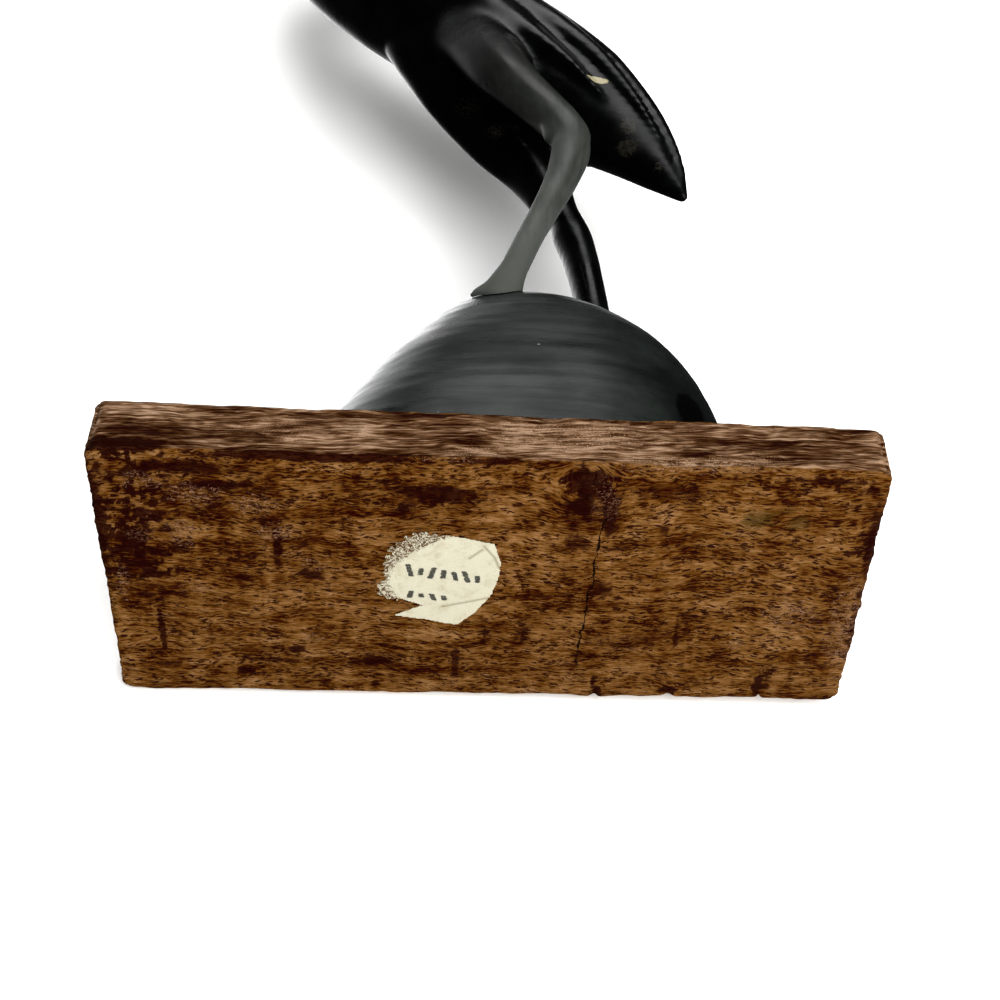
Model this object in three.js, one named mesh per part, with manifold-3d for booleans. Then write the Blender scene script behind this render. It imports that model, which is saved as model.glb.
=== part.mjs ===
// A carved horn wading bird on a horn mound that is fixed on a rough wooden base.
// Millimetres, +Z up. The origin is the middle of the base's underside, the bird faces -X,
// and its left side is towards -Y.
import * as THREE from "three";
import { mergeVertices } from "three/addons/utils/BufferGeometryUtils.js";
import Module from "manifold-3d";

const wasm = await Module();
wasm.setup();

// Driving sizes of the whole
const BASE_LENGTH = 84.6;
const BASE_WIDTH = 39.2;
const BASE_THICK = 7.4;
const TOTAL_HEIGHT = 203;
const MOUND_TOP = 46.6;
const SEAT_GAP = 0.3; // left between two pieces that touch

const Y_AXIS = new THREE.Vector3(0, 1, 0);

// Solids and meshes

/** The closed geometry as a solid, with its faces turned outwards. */
function solidOf(geometry) {
  const bare = geometry.clone();
  bare.deleteAttribute("normal");
  bare.deleteAttribute("uv");
  const merged = mergeVertices(bare, 1e-4);
  const triVerts = new Uint32Array(merged.index.array);
  const vertProperties = merged.attributes.position.array;
  const made = new wasm.Manifold(new wasm.Mesh({ numProp: 3, vertProperties, triVerts }));
  if (made.volume() > 0) return made;
  for (let i = 0; i < triVerts.length; i += 3) {
    [triVerts[i + 1], triVerts[i + 2]] = [triVerts[i + 2], triVerts[i + 1]];
  }
  return new wasm.Manifold(new wasm.Mesh({ numProp: 3, vertProperties, triVerts }));
}

/** All the solids joined as one. */
function joined(solids) {
  return solids.reduce((whole, next) => whole.add(next));
}

/** A named mesh of the solid. */
function meshOf(name, solid, material) {
  const { vertProperties, triVerts } = solid.getMesh();
  const geometry = new THREE.BufferGeometry();
  geometry.setAttribute("position", new THREE.BufferAttribute(new Float32Array(vertProperties), 3));
  geometry.setIndex(new THREE.BufferAttribute(new Uint32Array(triVerts), 1));
  geometry.computeVertexNormals();
  const mesh = new THREE.Mesh(geometry, material);
  mesh.name = name;
  return mesh;
}

// Swept limbs

/** A sphere geometry pulled along a path: frameAt(t) gives the centre and the two half axes of
 * the oval section at t from 0 to 1. The higher the bluntness, the shorter the rounded ends. */
function sweep(frameAt, around, along, bluntness = 6) {
  const geometry = new THREE.SphereGeometry(1, around, along);
  const place = geometry.attributes.position;
  const unit = new THREE.Vector3();
  for (let i = 0; i < place.count; i++) {
    unit.fromBufferAttribute(place, i);
    const t = Math.acos(THREE.MathUtils.clamp(unit.y, -1, 1)) / Math.PI;
    const turn = Math.atan2(unit.z, unit.x);
    const closing = Math.max(0, 1 - Math.abs(2 * t - 1) ** bluntness) ** (1 / bluntness);
    const { centre, side, deep } = frameAt(t);
    unit.copy(centre);
    unit.addScaledVector(side, closing * Math.cos(turn));
    unit.addScaledVector(deep, closing * Math.sin(turn));
    place.setXYZ(i, unit.x, unit.y, unit.z);
  }
  return solidOf(geometry);
}

/** A smooth run through stations of [x, y, z, half width, half depth]. frameAt(t) has its width
 * square to the path and as near as it can be to the wide direction. */
function run(stations, wide = Y_AXIS) {
  const path = new THREE.CatmullRomCurve3(stations.map(([x, y, z]) => new THREE.Vector3(x, y, z)));
  const sizes = new THREE.CatmullRomCurve3(stations.map((s) => new THREE.Vector3(s[3], s[4], 0)));
  return (t) => {
    const along = path.getTangent(t);
    const side = wide.clone().addScaledVector(along, -wide.dot(along)).normalize();
    const deep = new THREE.Vector3().crossVectors(side, along);
    const size = sizes.getPoint(t);
    side.multiplyScalar(size.x);
    deep.multiplyScalar(size.y);
    return { centre: path.getPoint(t), side, deep };
  };
}

// The wooden base

const END_WEAR = 0.3; // how far the sawn edges wander
const CORNER = 1.6;
const EDGE_BREAK = 0.25;
const FAR_EDGE_TAPER = 1.5; // the far edge runs in by this much towards +X
const TOP_FALL = 0.4; // the top is this much lower at +X than at the middle, and higher at -X
const SPLINTERS = [
  { at: -6.5, wide: 2.4, out: 0.6 },
  { at: 1.5, wide: 1.8, out: 0.7 },
  { at: 6.8, wide: 1.6, out: 0.5 },
];
// Cracks and dents of the far lower edge: place along X, width, and depth into the wood
const EDGE_NOTCHES = [
  { x: 13.4, wide: 1.1, deep: 2.4 },
  { x: 21.9, wide: 2.2, deep: 1.1 },
  { x: 32.5, wide: 0.9, deep: 3.2 },
];

/** A slow wander of a sawn edge, from two waves of unlike length. */
function wander(s, phase) {
  return 0.6 * Math.sin(s * 0.21 + phase) + 0.4 * Math.sin(s * 0.53 + 2.3 * phase);
}

/** The height of the base's top above the origin's plane at x. */
function topOfBase(x) {
  return BASE_THICK - (TOP_FALL * x) / (BASE_LENGTH / 2);
}

/** How far the ends' splinters stand out at y. */
function splinter(y) {
  const stands = SPLINTERS.map(({ at, wide, out }) => out * Math.max(0, 1 - Math.abs(y - at) / (wide / 2)));
  return stands.reduce((sum, one) => sum + one);
}

/** The points moved so that their box stands round the origin. */
function centred(points) {
  const box = new THREE.Box2().setFromPoints(points);
  const middle = box.getCenter(new THREE.Vector2());
  return points.map((p) => p.clone().sub(middle));
}

/** The outline of the board, worn and not quite square. */
function baseOutline() {
  const halfLength = BASE_LENGTH / 2 - EDGE_BREAK;
  const halfWidth = BASE_WIDTH / 2 - EDGE_BREAK;
  const corners = [
    [-1, -1],
    [1, -1],
    [1, 1],
    [-1, 1],
  ];
  const cornerSteps = 3;
  const edgeSteps = [22, 11, 22, 11];
  const points = [];
  corners.forEach(([sx, sy], k) => {
    const centre = new THREE.Vector2(sx * (halfLength - CORNER), sy * (halfWidth - CORNER));
    const from = Math.PI + (k * Math.PI) / 2;
    for (let i = 0; i <= cornerSteps; i++) {
      const turn = from + (i / cornerSteps) * (Math.PI / 2);
      points.push(centre.clone().add(new THREE.Vector2(Math.cos(turn), Math.sin(turn)).multiplyScalar(CORNER)));
    }
    const last = points[points.length - 1];
    const [nx, ny] = corners[(k + 1) % corners.length];
    const along = k % 2 === 0;
    const next = new THREE.Vector2(
      nx * (halfLength - (along ? CORNER : 0)),
      ny * (halfWidth - (along ? 0 : CORNER)),
    );
    for (let i = 1; i < edgeSteps[k]; i++) points.push(last.clone().lerp(next, i / edgeSteps[k]));
  });
  const worn = points.map((p) => {
    const lengthwise = p.x / halfLength;
    const crosswise = p.y / halfWidth;
    const inX = END_WEAR * 0.5 * (1 + wander(p.y, 1.7 + Math.sign(p.x))) * lengthwise ** 8;
    const inY = END_WEAR * 0.5 * (1 + wander(p.x, 0.6 + Math.sign(p.y))) * crosswise ** 8;
    const taper = p.y > 0 ? FAR_EDGE_TAPER * (0.5 + lengthwise / 2) * crosswise : 0;
    const out = lengthwise > 0.99 ? splinter(p.y) - END_WEAR : 0;
    return new THREE.Vector2(
      p.x - Math.sign(p.x) * inX + Math.min(out, inX),
      p.y - Math.sign(p.y) * inY - taper,
    );
  });
  return centred(worn);
}

// The paper label: torn all round, so its outline is a list of the corners that show
const LABEL_CORNERS = [
  [-7.1, -8.5],
  [-2.0, -7.6],
  [0.9, -6.9],
  [1.7, -4.0],
  [1.6, -2.0],
  [0.8, 1.2],
  [-1.0, 4.2],
  [-3.0, 6.4],
  [-6.5, 5.6],
  [-10.2, 5.0],
  [-6.9, 3.2],
  [-9.1, 2.4],
  [-10.9, 2.2],
  [-12.2, 0.9],
  [-11.0, -1.0],
  [-11.2, -3.0],
  [-10.3, -5.9],
  [-8.8, -7.3],
];
const LABEL_THICK = 0.18;
const POCKET_DEEP = LABEL_THICK + SEAT_GAP;

/** The label, lying level with the underside. */
function labelSolid(height = LABEL_THICK) {
  const outline = new THREE.Shape(LABEL_CORNERS.map(([x, y]) => new THREE.Vector2(x, y)));
  return solidOf(new THREE.ExtrudeGeometry(outline, { depth: height, bevelEnabled: false }));
}

/** The seat of the label in the board: its outline without the tears, a little wider all round. */
function labelSeat() {
  const whole = labelSolid(POCKET_DEEP).hull();
  const { min, max } = whole.boundingBox();
  const middle = [(min[0] + max[0]) / 2, (min[1] + max[1]) / 2];
  const wider = [0, 1].map((k) => 1 + (2.4 * SEAT_GAP) / (max[k] - min[k]));
  return whole
    .translate([-middle[0], -middle[1], 0])
    .scale([wider[0], wider[1], 1])
    .translate([middle[0], middle[1], 0]);
}

/** The board: an extruded outline with broken edges, a top that falls to one end, cracks, and a
 * shallow seat for the label. */
function baseSolid() {
  const geometry = new THREE.ExtrudeGeometry(new THREE.Shape(baseOutline()), {
    depth: BASE_THICK - 2 * EDGE_BREAK,
    bevelEnabled: true,
    bevelSize: EDGE_BREAK,
    bevelThickness: EDGE_BREAK,
    bevelSegments: 1,
  });
  geometry.translate(0, 0, EDGE_BREAK);
  const place = geometry.attributes.position;
  for (let i = 0; i < place.count; i++) {
    if (place.getZ(i) > BASE_THICK / 2) {
      place.setZ(i, place.getZ(i) - BASE_THICK + topOfBase(place.getX(i)));
    }
  }
  const board = solidOf(geometry);
  const notches = EDGE_NOTCHES.map(({ x, wide, deep }) => {
    const wedge = new THREE.CylinderGeometry(1, 1, BASE_THICK * 0.8, 3);
    wedge.rotateX(Math.PI / 2);
    wedge.scale(wide / Math.sqrt(3), deep, 1);
    wedge.rotateX(0.35);
    wedge.translate(x, BASE_WIDTH / 2 - (FAR_EDGE_TAPER * (1 + x / (BASE_LENGTH / 2))) / 2, 0);
    return solidOf(wedge);
  });
  return board.subtract(joined(notches)).subtract(labelSeat());
}

// The horn mound

const MOUND_HALF_WIDTH = 13.6;
const MOUND_SHOULDER = 3.0; // the higher, the squarer the mound's shoulders
// Where the mound's two ends stand at parts of its height, from the board to the crest
const MOUND_ENDS = [
  { part: 0.0, low: -24.0, high: 28.2 },
  { part: 0.18, low: -22.6, high: 29.0 },
  { part: 0.36, low: -19.9, high: 28.7 },
  { part: 0.55, low: -16.1, high: 26.9 },
  { part: 0.72, low: -12.2, high: 23.6 },
  { part: 0.86, low: -8.6, high: 18.4 },
  { part: 0.95, low: -5.2, high: 11.4 },
  { part: 1.0, low: -0.6, high: 0.8 },
];

/** A smooth value between rows of a table, by the rows' part. */
function between(rows, part, key) {
  const last = rows.length - 1;
  let k = rows.findIndex((row) => row.part > part) - 1;
  if (k < 0) k = part >= rows[last].part ? last - 1 : 0;
  const value = (i) => rows[THREE.MathUtils.clamp(i, 0, last)][key];
  const span = rows[k + 1].part - rows[k].part;
  const t = THREE.MathUtils.clamp((part - rows[k].part) / span, 0, 1);
  const slope = (i) => {
    const a = Math.max(i - 1, 0);
    const b = Math.min(i + 1, last);
    return ((value(b) - value(a)) / (rows[b].part - rows[a].part)) * span;
  };
  const t2 = t * t;
  const t3 = t2 * t;
  return (
    (2 * t3 - 3 * t2 + 1) * value(k) +
    (t3 - 2 * t2 + t) * slope(k) +
    (3 * t2 - 2 * t3) * value(k + 1) +
    (t3 - t2) * slope(k + 1)
  );
}

/** The mound, grown by the margin: a turned dome whose rings are then drawn out to its ends. */
function moundSolid(margin = 0) {
  const rings = 15;
  const around = 40;
  const foot = topOfBase(0) - 2;
  const profile = [new THREE.Vector2(0, foot)];
  for (let i = 0; i <= rings; i++) {
    const height = Math.sin((i / rings) * (Math.PI / 2));
    profile.push(new THREE.Vector2(i < rings ? 1 : 0, foot + height * (MOUND_TOP - foot)));
  }
  const geometry = new THREE.LatheGeometry(profile, around);
  geometry.rotateX(Math.PI / 2);
  const place = geometry.attributes.position;
  for (let i = 0; i < place.count; i++) {
    const z = place.getZ(i);
    const part = THREE.MathUtils.clamp((z - BASE_THICK) / (MOUND_TOP - BASE_THICK), 0, 1);
    const turn = Math.atan2(place.getY(i), place.getX(i));
    const reach = Math.hypot(place.getX(i), place.getY(i));
    const low = between(MOUND_ENDS, part, "low") - margin;
    const high = between(MOUND_ENDS, part, "high") + margin;
    const halfWidth = MOUND_HALF_WIDTH * (1 - part ** MOUND_SHOULDER) ** (1 / MOUND_SHOULDER) + margin;
    const round = (v) => Math.sign(v) * Math.abs(v) ** 0.85;
    place.setX(i, (low + high) / 2 + ((high - low) / 2) * reach * round(Math.cos(turn)));
    place.setY(i, halfWidth * reach * round(Math.sin(turn)));
    place.setZ(i, z + margin * part);
  }
  return solidOf(geometry);
}

/** All that lies below the board's top and its gap. */
function belowMound() {
  const depth = 20;
  const slab = new THREE.BoxGeometry(2 * BASE_LENGTH, 2 * BASE_WIDTH, depth);
  slab.translate(0, 0, BASE_THICK + SEAT_GAP - depth / 2);
  const place = slab.attributes.position;
  for (let i = 0; i < place.count; i++) {
    place.setZ(i, place.getZ(i) - BASE_THICK + topOfBase(place.getX(i)));
  }
  return solidOf(slab);
}

// The bird's trunk, from the tail's tip to the foot of the neck

const TRUNK = [
  [27.4, 0, 76.0, 0.8, 0.6],
  [23.8, 0, 83.2, 3.0, 3.5],
  [19.0, 0, 91.2, 5.3, 6.1],
  [12.0, 0, 100.2, 7.8, 8.8],
  [3.6, 0, 110.0, 8.8, 10.0],
  [-5.4, 0, 119.8, 9.1, 10.5],
  [-15.0, 0, 129.8, 8.9, 10.4],
  [-24.0, 0, 139.8, 8.2, 9.4],
  [-30.0, 0, 149.5, 6.8, 7.6],
  [-31.5, 0, 159.0, 5.4, 5.6],
  [-29.6, 0, 167.0, 4.4, 4.6],
];
const trunkAt = run(TRUNK);

const NECK = [
  [-31.0, 0, 155.0, 5.2, 5.4],
  [-30.8, 0, 162.5, 4.8, 5.0],
  [-27.2, 0, 171.0, 4.1, 4.3],
  [-22.2, 0, 178.6, 3.6, 3.8],
  [-17.6, 0, 186.2, 3.3, 3.5],
  [-16.2, 0, 193.0, 3.4, 3.7],
  [-18.4, 0, 198.0, 3.4, 3.4],
];

// The head and the beak together, from the nape to the beak's point
const HEAD_TOP = TOTAL_HEIGHT - 4.6;
const HEAD = [
  [-12.0, 0, HEAD_TOP - 3.4, 1.2, 1.4],
  [-14.6, 0, HEAD_TOP - 1.3, 3.0, 3.7],
  [-18.0, 0, HEAD_TOP, 3.9, 4.6],
  [-21.8, 0, HEAD_TOP - 0.5, 3.4, 3.8],
  [-25.0, 0, HEAD_TOP - 1.6, 2.3, 2.6],
  [-29.0, 0, HEAD_TOP - 3.0, 1.65, 1.9],
  [-35.5, 0, HEAD_TOP - 5.2, 1.1, 1.3],
  [-41.6, 0, HEAD_TOP - 7.2, 0.5, 0.55],
];
const EYE = { x: -20.2, y: 3.0, z: HEAD_TOP + 0.9, size: 1.1 };

/** The eyes: a low round boss on each side of the head. */
function eyes() {
  return [-1, 1].map((hand) => {
    const boss = new THREE.SphereGeometry(EYE.size, 10, 8);
    boss.translate(EYE.x, hand * EYE.y, EYE.z);
    return solidOf(boss);
  });
}

// The folded wings: long feathers that lie on the trunk and end one above the other.
// A feather lies at an angle from the middle of the back, between two parts of the trunk's run.
const FEATHERS = [
  { angle: 42, tip: 0.02, root: 0.72, wide: 5.2, proud: 1.5, drift: -10 },
  { angle: 73, tip: 0.11, root: 0.74, wide: 5.2, proud: 1.9, drift: -16 },
  { angle: 105, tip: 0.22, root: 0.74, wide: 5.2, proud: 2.1, drift: -20 },
];

/** A point on the trunk at part t of its run, turned from the back's middle, with the
 * directions along its skin and out of it. */
function onTrunk(t, angle, hand) {
  const { centre, side, deep } = trunkAt(t);
  const turn = THREE.MathUtils.degToRad(angle);
  const back = deep.z > 0 ? deep : deep.clone().negate();
  const point = centre.clone();
  point.addScaledVector(back, Math.cos(turn));
  point.addScaledVector(side, hand * Math.sin(turn));
  const skin = back.clone().multiplyScalar(-Math.sin(turn));
  skin.addScaledVector(side, hand * Math.cos(turn)).normalize();
  const ahead = trunkAt(Math.min(t + 0.01, 1)).centre.sub(trunkAt(Math.max(t - 0.01, 0)).centre);
  const out = new THREE.Vector3().crossVectors(skin, ahead).normalize();
  if (out.dot(point.clone().sub(centre)) < 0) out.negate();
  return { point, skin, out };
}

/** One feather of a wing, as a long oval blade on the trunk's skin. */
function feather({ angle, tip, root, wide, proud, drift }, hand) {
  const frameAt = (s) => {
    const t = tip + (root - tip) * s;
    const { point, skin, out } = onTrunk(t, angle + drift * s, hand);
    const full = Math.min(1, 0.16 + 1.9 * s) * Math.min(1, 0.35 + 2.2 * (1 - s));
    return {
      centre: point,
      side: skin.multiplyScalar((wide / 2) * full),
      deep: out.multiplyScalar(proud * (0.5 + 0.5 * full)),
    };
  };
  return sweep(frameAt, 8, 16, 3);
}

// The wing's shoulder: a broad low swelling that the feathers come out of
const SHOULDER = { angle: 72, tip: 0.46, root: 0.84, wide: 8.4, proud: 2.5, drift: -14 };

// The legs: the near one, towards -Y, stands on the crest, and the far one stands behind it

const NEAR_THIGH = [
  [-5.4, -1.6, 120.0, 4.0, 4.8],
  [-3.0, -4.8, 109.2, 4.5, 5.3],
  [0.2, -6.9, 99.0, 4.2, 4.3],
  [4.3, -7.8, 90.1, 3.4, 3.4],
  [8.1, -8.0, 83.8, 3.0, 3.0],
  [11.0, -8.0, 78.8, 2.8, 2.9],
  [12.0, -8.0, 76.8, 2.2, 2.2],
];
const NEAR_SHANK = [
  [10.6, -8.0, 80.6, 2.4, 2.6],
  [10.6, -8.0, 76.0, 2.7, 2.8],
  [9.2, -8.0, 68.8, 2.1, 2.2],
  [6.8, -8.0, 61.0, 1.75, 1.75],
  [4.8, -8.0, 55.0, 1.65, 1.6],
  [3.0, -7.9, 49.0, 1.7, 1.65],
  [1.4, -7.6, 44.0, 2.1, 2.5],
  [0.6, -7.2, 41.0, 2.2, 3.0],
];
const FAR_THIGH = [
  [-5.4, 1.6, 120.0, 4.2, 5.0],
  [-2.6, 3.9, 110.6, 4.6, 5.4],
  [1.4, 5.7, 100.2, 4.1, 5.2],
  [6.2, 6.0, 90.0, 3.5, 4.4],
  [9.5, 6.0, 81.0, 2.9, 3.1],
  [11.0, 6.0, 77.6, 2.6, 2.6],
];
const FAR_SHANK = [
  [9.6, 6.0, 82.0, 2.6, 2.6],
  [10.9, 6.0, 77.0, 2.8, 2.9],
  [12.4, 6.0, 70.0, 2.5, 2.6],
  [13.4, 6.0, 63.0, 2.3, 2.35],
  [14.2, 6.0, 56.0, 2.2, 2.25],
  [15.0, 5.8, 49.0, 2.3, 2.3],
  [15.8, 5.4, 43.0, 2.8, 3.0],
  [16.2, 5.0, 38.0, 3.0, 3.4],
];

// The small point that the near thigh's cuff ends in, in front of the hock
const NEAR_CUFF = [
  [7.6, -8.0, 84.4, 1.7, 1.9],
  [7.1, -8.1, 79.8, 1.2, 1.5],
  [6.1, -8.3, 75.8, 0.5, 0.5],
];

/** A foot: a long toe in front, a short one each side, all lying on the mound. */
function foot(heel, toes) {
  return toes.map(([x, y, z]) => {
    const stations = [
      [heel[0], heel[1], heel[2], 1.4, 1.5],
      [(heel[0] + x) / 2, (heel[1] + y) / 2, (heel[2] + z) / 2 + 0.3, 1.2, 1.1],
      [x, y, z, 0.6, 0.6],
    ];
    return sweep(run(stations), 8, 6, 4);
  });
}

const NEAR_FOOT = {
  heel: [1.8, -7.6, 45.0],
  toes: [
    [-3.2, -7.4, 43.6],
    [-0.8, -5.0, 46.6],
  ],
};
const FAR_FOOT = {
  heel: [15.4, 5.6, 43.0],
  toes: [
    [10.6, 5.6, 44.6],
    [12.6, 8.4, 41.6],
    [12.2, 2.6, 44.9],
  ],
};

/** The bird, carved from one piece of horn, and cut to sit on the mound. */
function birdSolid() {
  const trunk = sweep(trunkAt, 26, 30, 10);
  const neck = sweep(run(NECK), 16, 14, 10);
  const head = sweep(run(HEAD), 14, 18, 10);
  const wings = [-1, 1].flatMap((hand) => [...FEATHERS, SHOULDER].map((one) => feather(one, hand)));
  const legs = [NEAR_THIGH, NEAR_SHANK, FAR_THIGH, FAR_SHANK].map((one) => sweep(run(one), 14, 12, 8));
  const cuff = sweep(run(NEAR_CUFF), 8, 6, 8);
  const feet = [NEAR_FOOT, FAR_FOOT].flatMap(({ heel, toes }) => foot(heel, toes));
  const whole = joined([trunk, neck, head, ...eyes(), ...wings, ...legs, cuff, ...feet]);
  return whole.subtract(moundSolid(SEAT_GAP));
}

// Materials and the finished group

const blackHorn = new THREE.MeshStandardMaterial({ color: 0x17181a, roughness: 0.28, metalness: 0 });
const greyHorn = new THREE.MeshStandardMaterial({ color: 0x2b2f2d, roughness: 0.36, metalness: 0 });
const oldWood = new THREE.MeshStandardMaterial({ color: 0x7c4f28, roughness: 0.85, metalness: 0 });
const creamPaper = new THREE.MeshStandardMaterial({ color: 0xe6e1c8, roughness: 0.9, metalness: 0 });

const figurine = new THREE.Group();
figurine.add(meshOf("wooden_base", baseSolid(), oldWood));
figurine.add(meshOf("paper_label", labelSolid(), creamPaper));
figurine.add(meshOf("horn_mound", moundSolid().subtract(belowMound()), greyHorn));
figurine.add(meshOf("bird", birdSolid(), blackHorn));

export default figurine;
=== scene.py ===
"""Looks of a carved horn wading bird on a horn mound and a worn wooden base.

Shapes are worked out in millimetres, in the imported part's own frame, and each finished mesh is scaled to
metres. The bird faces -X, and its left side is towards -Y.
"""

import logging
import math
from collections.abc import Callable, Sequence
from dataclasses import dataclass
from enum import Enum
from functools import lru_cache

import bmesh
import bpy
import numpy as np
from mathutils import Matrix, Vector, noise


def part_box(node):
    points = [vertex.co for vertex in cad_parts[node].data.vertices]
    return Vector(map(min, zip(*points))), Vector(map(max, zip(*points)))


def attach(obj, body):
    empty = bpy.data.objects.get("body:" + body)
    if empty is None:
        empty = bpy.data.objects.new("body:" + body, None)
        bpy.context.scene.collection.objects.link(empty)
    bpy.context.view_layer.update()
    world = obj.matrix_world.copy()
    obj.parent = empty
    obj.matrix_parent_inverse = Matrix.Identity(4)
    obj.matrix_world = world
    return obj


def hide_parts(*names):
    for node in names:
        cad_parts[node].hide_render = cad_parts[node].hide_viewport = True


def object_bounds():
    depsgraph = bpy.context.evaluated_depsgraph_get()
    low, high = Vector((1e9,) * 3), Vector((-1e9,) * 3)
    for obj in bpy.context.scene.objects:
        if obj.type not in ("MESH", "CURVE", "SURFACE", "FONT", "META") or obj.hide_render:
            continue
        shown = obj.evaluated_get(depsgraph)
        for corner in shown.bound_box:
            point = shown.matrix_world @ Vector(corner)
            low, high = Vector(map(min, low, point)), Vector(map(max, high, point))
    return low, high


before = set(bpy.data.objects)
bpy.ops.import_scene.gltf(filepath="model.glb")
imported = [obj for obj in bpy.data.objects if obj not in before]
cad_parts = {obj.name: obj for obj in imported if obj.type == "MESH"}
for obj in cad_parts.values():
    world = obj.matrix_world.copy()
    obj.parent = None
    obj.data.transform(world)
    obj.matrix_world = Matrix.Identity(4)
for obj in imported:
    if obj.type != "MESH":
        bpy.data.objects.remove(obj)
CAD_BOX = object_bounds()

MM = 0.001
ROOT = "root"
LOG = logging.getLogger("figurine")

Station = tuple[float, float, float, float, float]
Net = tuple[int, int, int]
Colour = tuple[float, float, float]

# The direction that the width of every swept section keeps to
ACROSS = Vector((0, 1, 0))
# How far out of a mark's or a spot's own oval its soft edge reaches, as a part of its half size
MARK_REACH = 1.35
SPOT_REACH = 1.5
# The Mix node's sockets for the share and the two colours, and its colour output
MIX_INPUTS = (0, 6, 7)
MIX_OUTPUT = 2
# Past this angle, in degrees, an edge of horn or of paper shows as sharp
HORN_SHARP = 60
PAPER_SHARP = 50


class Hand(Enum):
    """The bird's two sides, as the sign of Y."""

    LEFT = -1
    RIGHT = 1


# Small sums


def clamp(value: float, low: float = 0.0, high: float = 1.0) -> float:
    """Keeps a value between two others."""
    return max(low, min(high, value))


def ease(value: float) -> float:
    """Turns 0 to 1 into a smooth step."""
    part = clamp(value)
    return part * part * (3 - 2 * part)


def rough(x: float, y: float, z: float) -> float:
    """Smooth noise from about -1 to 1 at a place."""
    return noise.noise(Vector((x, y, z)), noise_basis="PERLIN_ORIGINAL")


def wander(s: float, phase: float) -> float:
    """A slow wander of a sawn edge, from two waves of unlike length."""
    return 0.6 * math.sin(s * 0.21 + phase) + 0.4 * math.sin(s * 0.53 + 2.3 * phase)


# Runs and sweeps


def smooth_point(points: Sequence[Vector], t: float) -> Vector:
    """Finds a point on a centripetal Catmull-Rom curve.

    Args:
        points: The points that the curve passes through.
        t: How far along it is, from 0 to 1, with equal shares between neighbouring points.

    Returns:
        The point on the curve.
    """
    last = len(points) - 1
    k = min(int(t * last), last - 1)
    share = t * last - k
    p1, p2 = points[k], points[k + 1]
    p0 = points[k - 1] if k > 0 else 2 * p1 - p2
    p3 = points[k + 2] if k + 2 <= last else 2 * p2 - p1
    d0, d1, d2 = (max((b - a).length, 1e-6) ** 0.5 for a, b in ((p0, p1), (p1, p2), (p2, p3)))
    out = ((p1 - p0) / d0 - (p2 - p0) / (d0 + d1) + (p2 - p1) / d1) * d1
    into = ((p2 - p1) / d1 - (p3 - p1) / (d1 + d2) + (p3 - p2) / d2) * d1
    return (
        p1
        + out * share
        + (3 * (p2 - p1) - 2 * out - into) * share**2
        + (2 * (p1 - p2) + out + into) * share**3
    )


@dataclass(frozen=True)
class Section:
    """An oval section: its centre and its two half axes."""

    centre: Vector
    side: Vector
    deep: Vector


class Run:
    """A smooth run through stations of x, y, z, half width and half depth."""

    def __init__(self, stations: Sequence[Station]) -> None:
        """Keeps the places and half sizes that the run passes through.

        Args:
            stations: The stations, from one end to the other.
        """
        self.places = [Vector(station[:3]) for station in stations]
        self.sizes = [Vector((station[3], station[4], 0)) for station in stations]
        self.at = lru_cache(maxsize=4096)(self._section)

    def _section(self, t: float) -> Section:
        """Works out the section at t from 0 to 1."""
        step = 1e-4
        ahead = smooth_point(self.places, min(t + step, 1))
        along = (ahead - smooth_point(self.places, max(t - step, 0))).normalized()
        side = (ACROSS - along * ACROSS.dot(along)).normalized()
        size = smooth_point(self.sizes, t)
        return Section(smooth_point(self.places, t), side * size.x, side.cross(along) * size.y)


def sweep(
    bm: bmesh.types.BMesh,
    section_at: Callable[[float], Section],
    around: int,
    along: int,
    bluntness: float,
) -> None:
    """Adds a sphere that is pulled along a run.

    Args:
        bm: The mesh that takes it.
        section_at: Gives the section at t from 0 to 1.
        around: Faces round the run.
        along: Faces along the run.
        bluntness: The higher it is, the shorter the rounded ends.
    """
    made = bmesh.ops.create_uvsphere(bm, u_segments=around, v_segments=along, radius=1)
    for vert in made["verts"]:
        t = round(math.acos(clamp(vert.co.z, -1, 1)) / math.pi, 6)
        turn = math.atan2(vert.co.y, vert.co.x)
        closing = max(0.0, 1 - abs(2 * t - 1) ** bluntness) ** (1 / bluntness)
        here = section_at(t)
        vert.co = here.centre + here.side * closing * math.cos(turn) + here.deep * closing * math.sin(turn)


# Meshes as arrays, for the carving that moves every vertex


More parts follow.
